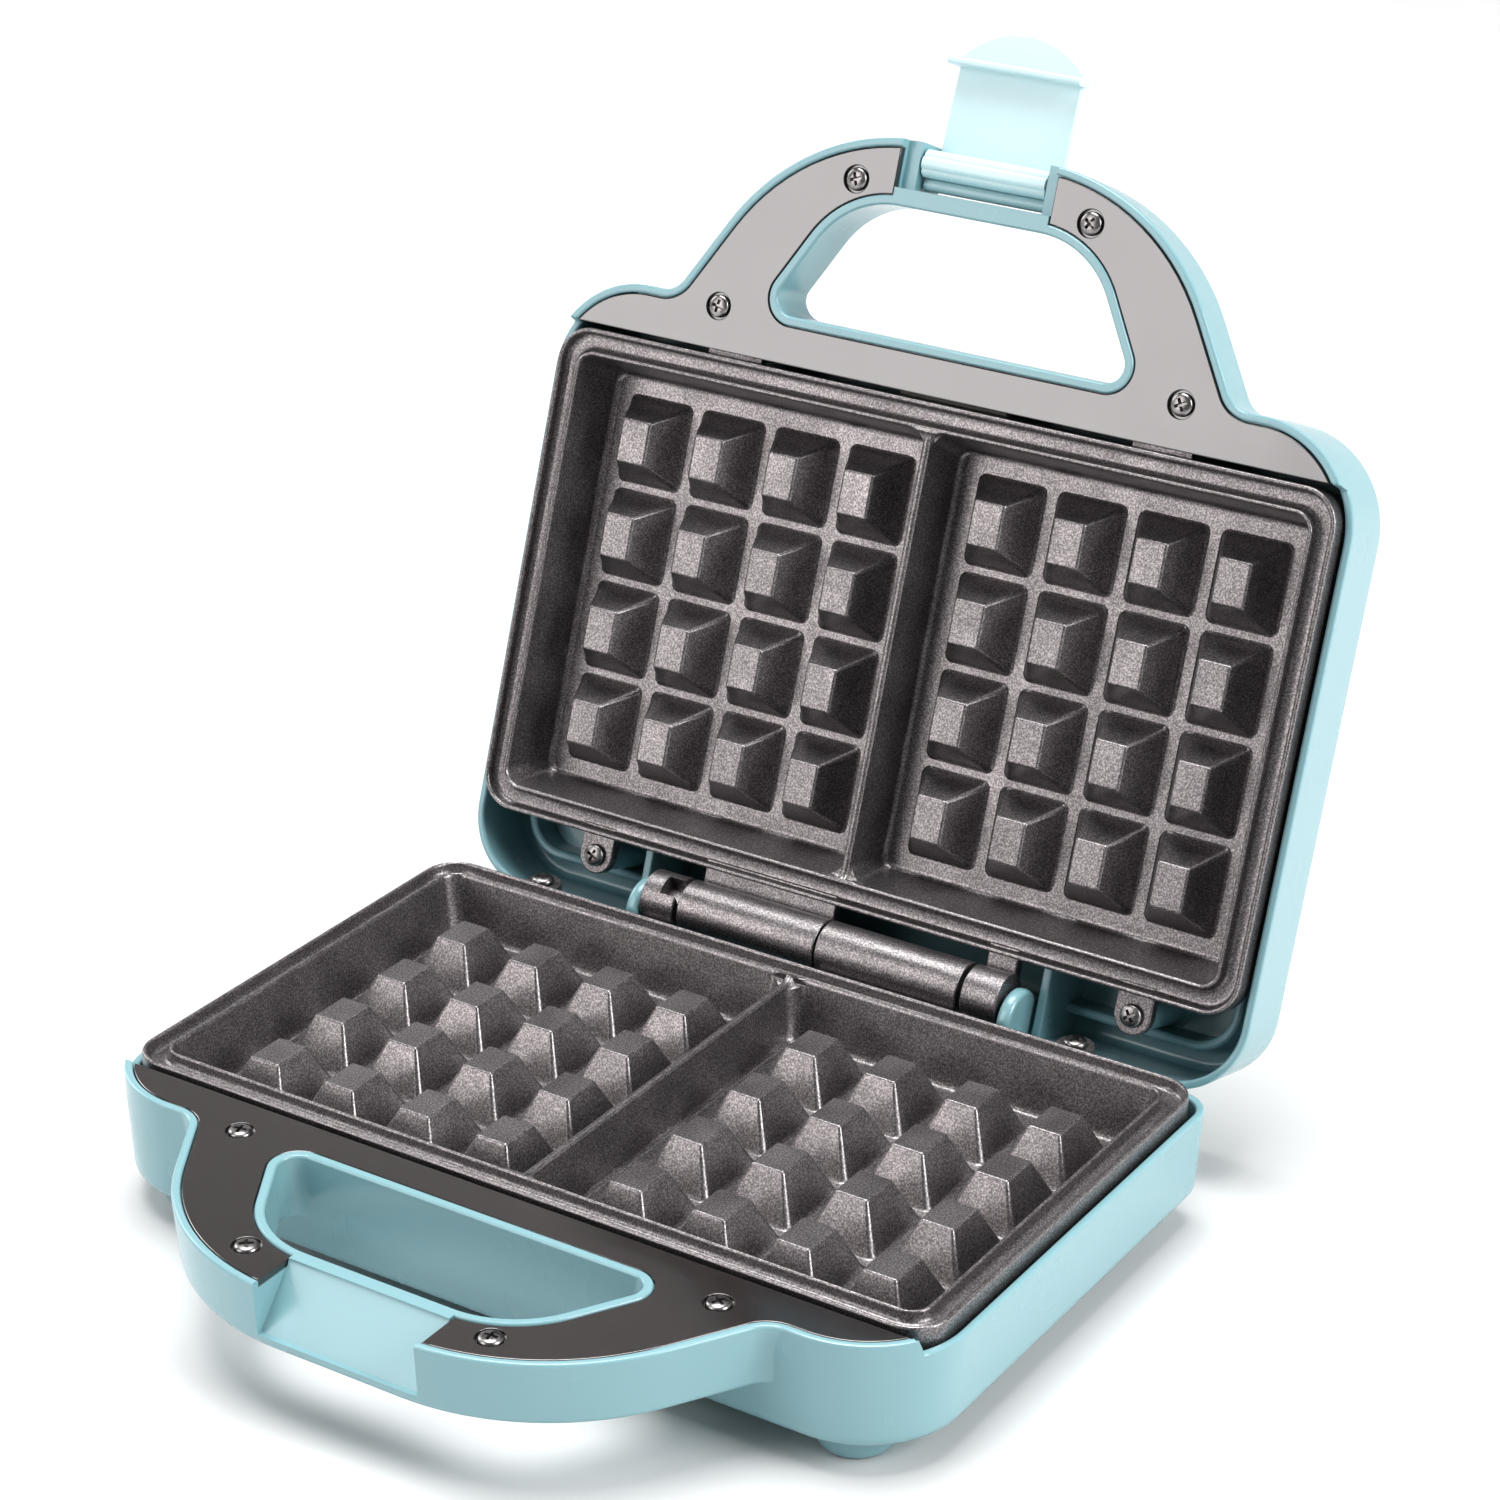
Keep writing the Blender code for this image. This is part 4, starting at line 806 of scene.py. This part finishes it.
def area_light(name, where, towards, size, power, colour=(1.0, 1.0, 1.0)):
    data = bpy.data.lights.new(name, "AREA")
    data.shape = "RECTANGLE"
    data.size, data.size_y = size
    data.energy = power
    data.color = colour
    made = bpy.data.objects.new(name, data)
    bpy.context.scene.collection.objects.link(made)
    made.location = where
    made.rotation_euler = (Vector(towards) - Vector(where)).to_track_quat("-Z", "Y").to_euler()
    return made


CENTRE = (0.0, 0.0, 0.12)
area_light("front_left", (-0.76, -1.22, 0.72), CENTRE, (0.72, 1.25), 8.2, (1.0, 0.965, 0.97))
area_light("right", (1.5, 0.10, 0.9), CENTRE, (0.8, 1.0), 23.0)
area_light("left", (-1.5, 0.1, 0.8), CENTRE, (0.8, 0.8), 8.0)
overhead = bpy.data.objects.new("overhead", bpy.data.lights.new("overhead", "SUN"))
bpy.context.scene.collection.objects.link(overhead)
overhead.data.energy = 2.9
overhead.data.angle = math.radians(40)
overhead.rotation_euler = (math.radians(-6), math.radians(-8), 0.0)
world = bpy.data.worlds.new("studio")
bpy.context.scene.world = world
world.use_nodes = True
world.node_tree.nodes["Background"].inputs["Color"].default_value = (1.0, 1.0, 1.0, 1.0)
world.node_tree.nodes["Background"].inputs["Strength"].default_value = 0.2

AZIMUTH, ELEVATION, ROLL = math.radians(32.16), math.radians(24.67), math.radians(0.80)
DISTANCE, FOCAL_LENGTH = 1.0864, 93.8784
target = BASE @ Vector((-83.8, 170.0, 0.0))
level = math.cos(ELEVATION)
back = Vector((math.sin(AZIMUTH) * level, -math.cos(AZIMUTH) * level, math.sin(ELEVATION)))
right = Vector((math.cos(AZIMUTH), math.sin(AZIMUTH), 0.0))
up = back.cross(right)
right, up = right * math.cos(ROLL) + up * math.sin(ROLL), up * math.cos(ROLL) - right * math.sin(ROLL)
camera = bpy.data.objects.new("camera", bpy.data.cameras.new("camera"))
bpy.context.scene.collection.objects.link(camera)
axes = Matrix((right, up, back)).transposed().to_4x4()
camera.matrix_world = Matrix.Translation(target + back * DISTANCE) @ axes
camera.data.sensor_width = 36.0
camera.data.lens = FOCAL_LENGTH
camera.data.clip_start = 0.05
camera.data.clip_end = 20.0
bpy.context.scene.camera = camera

bpy.context.scene.view_settings.view_transform = "Standard"
bpy.context.scene.view_settings.look = "Medium High Contrast"
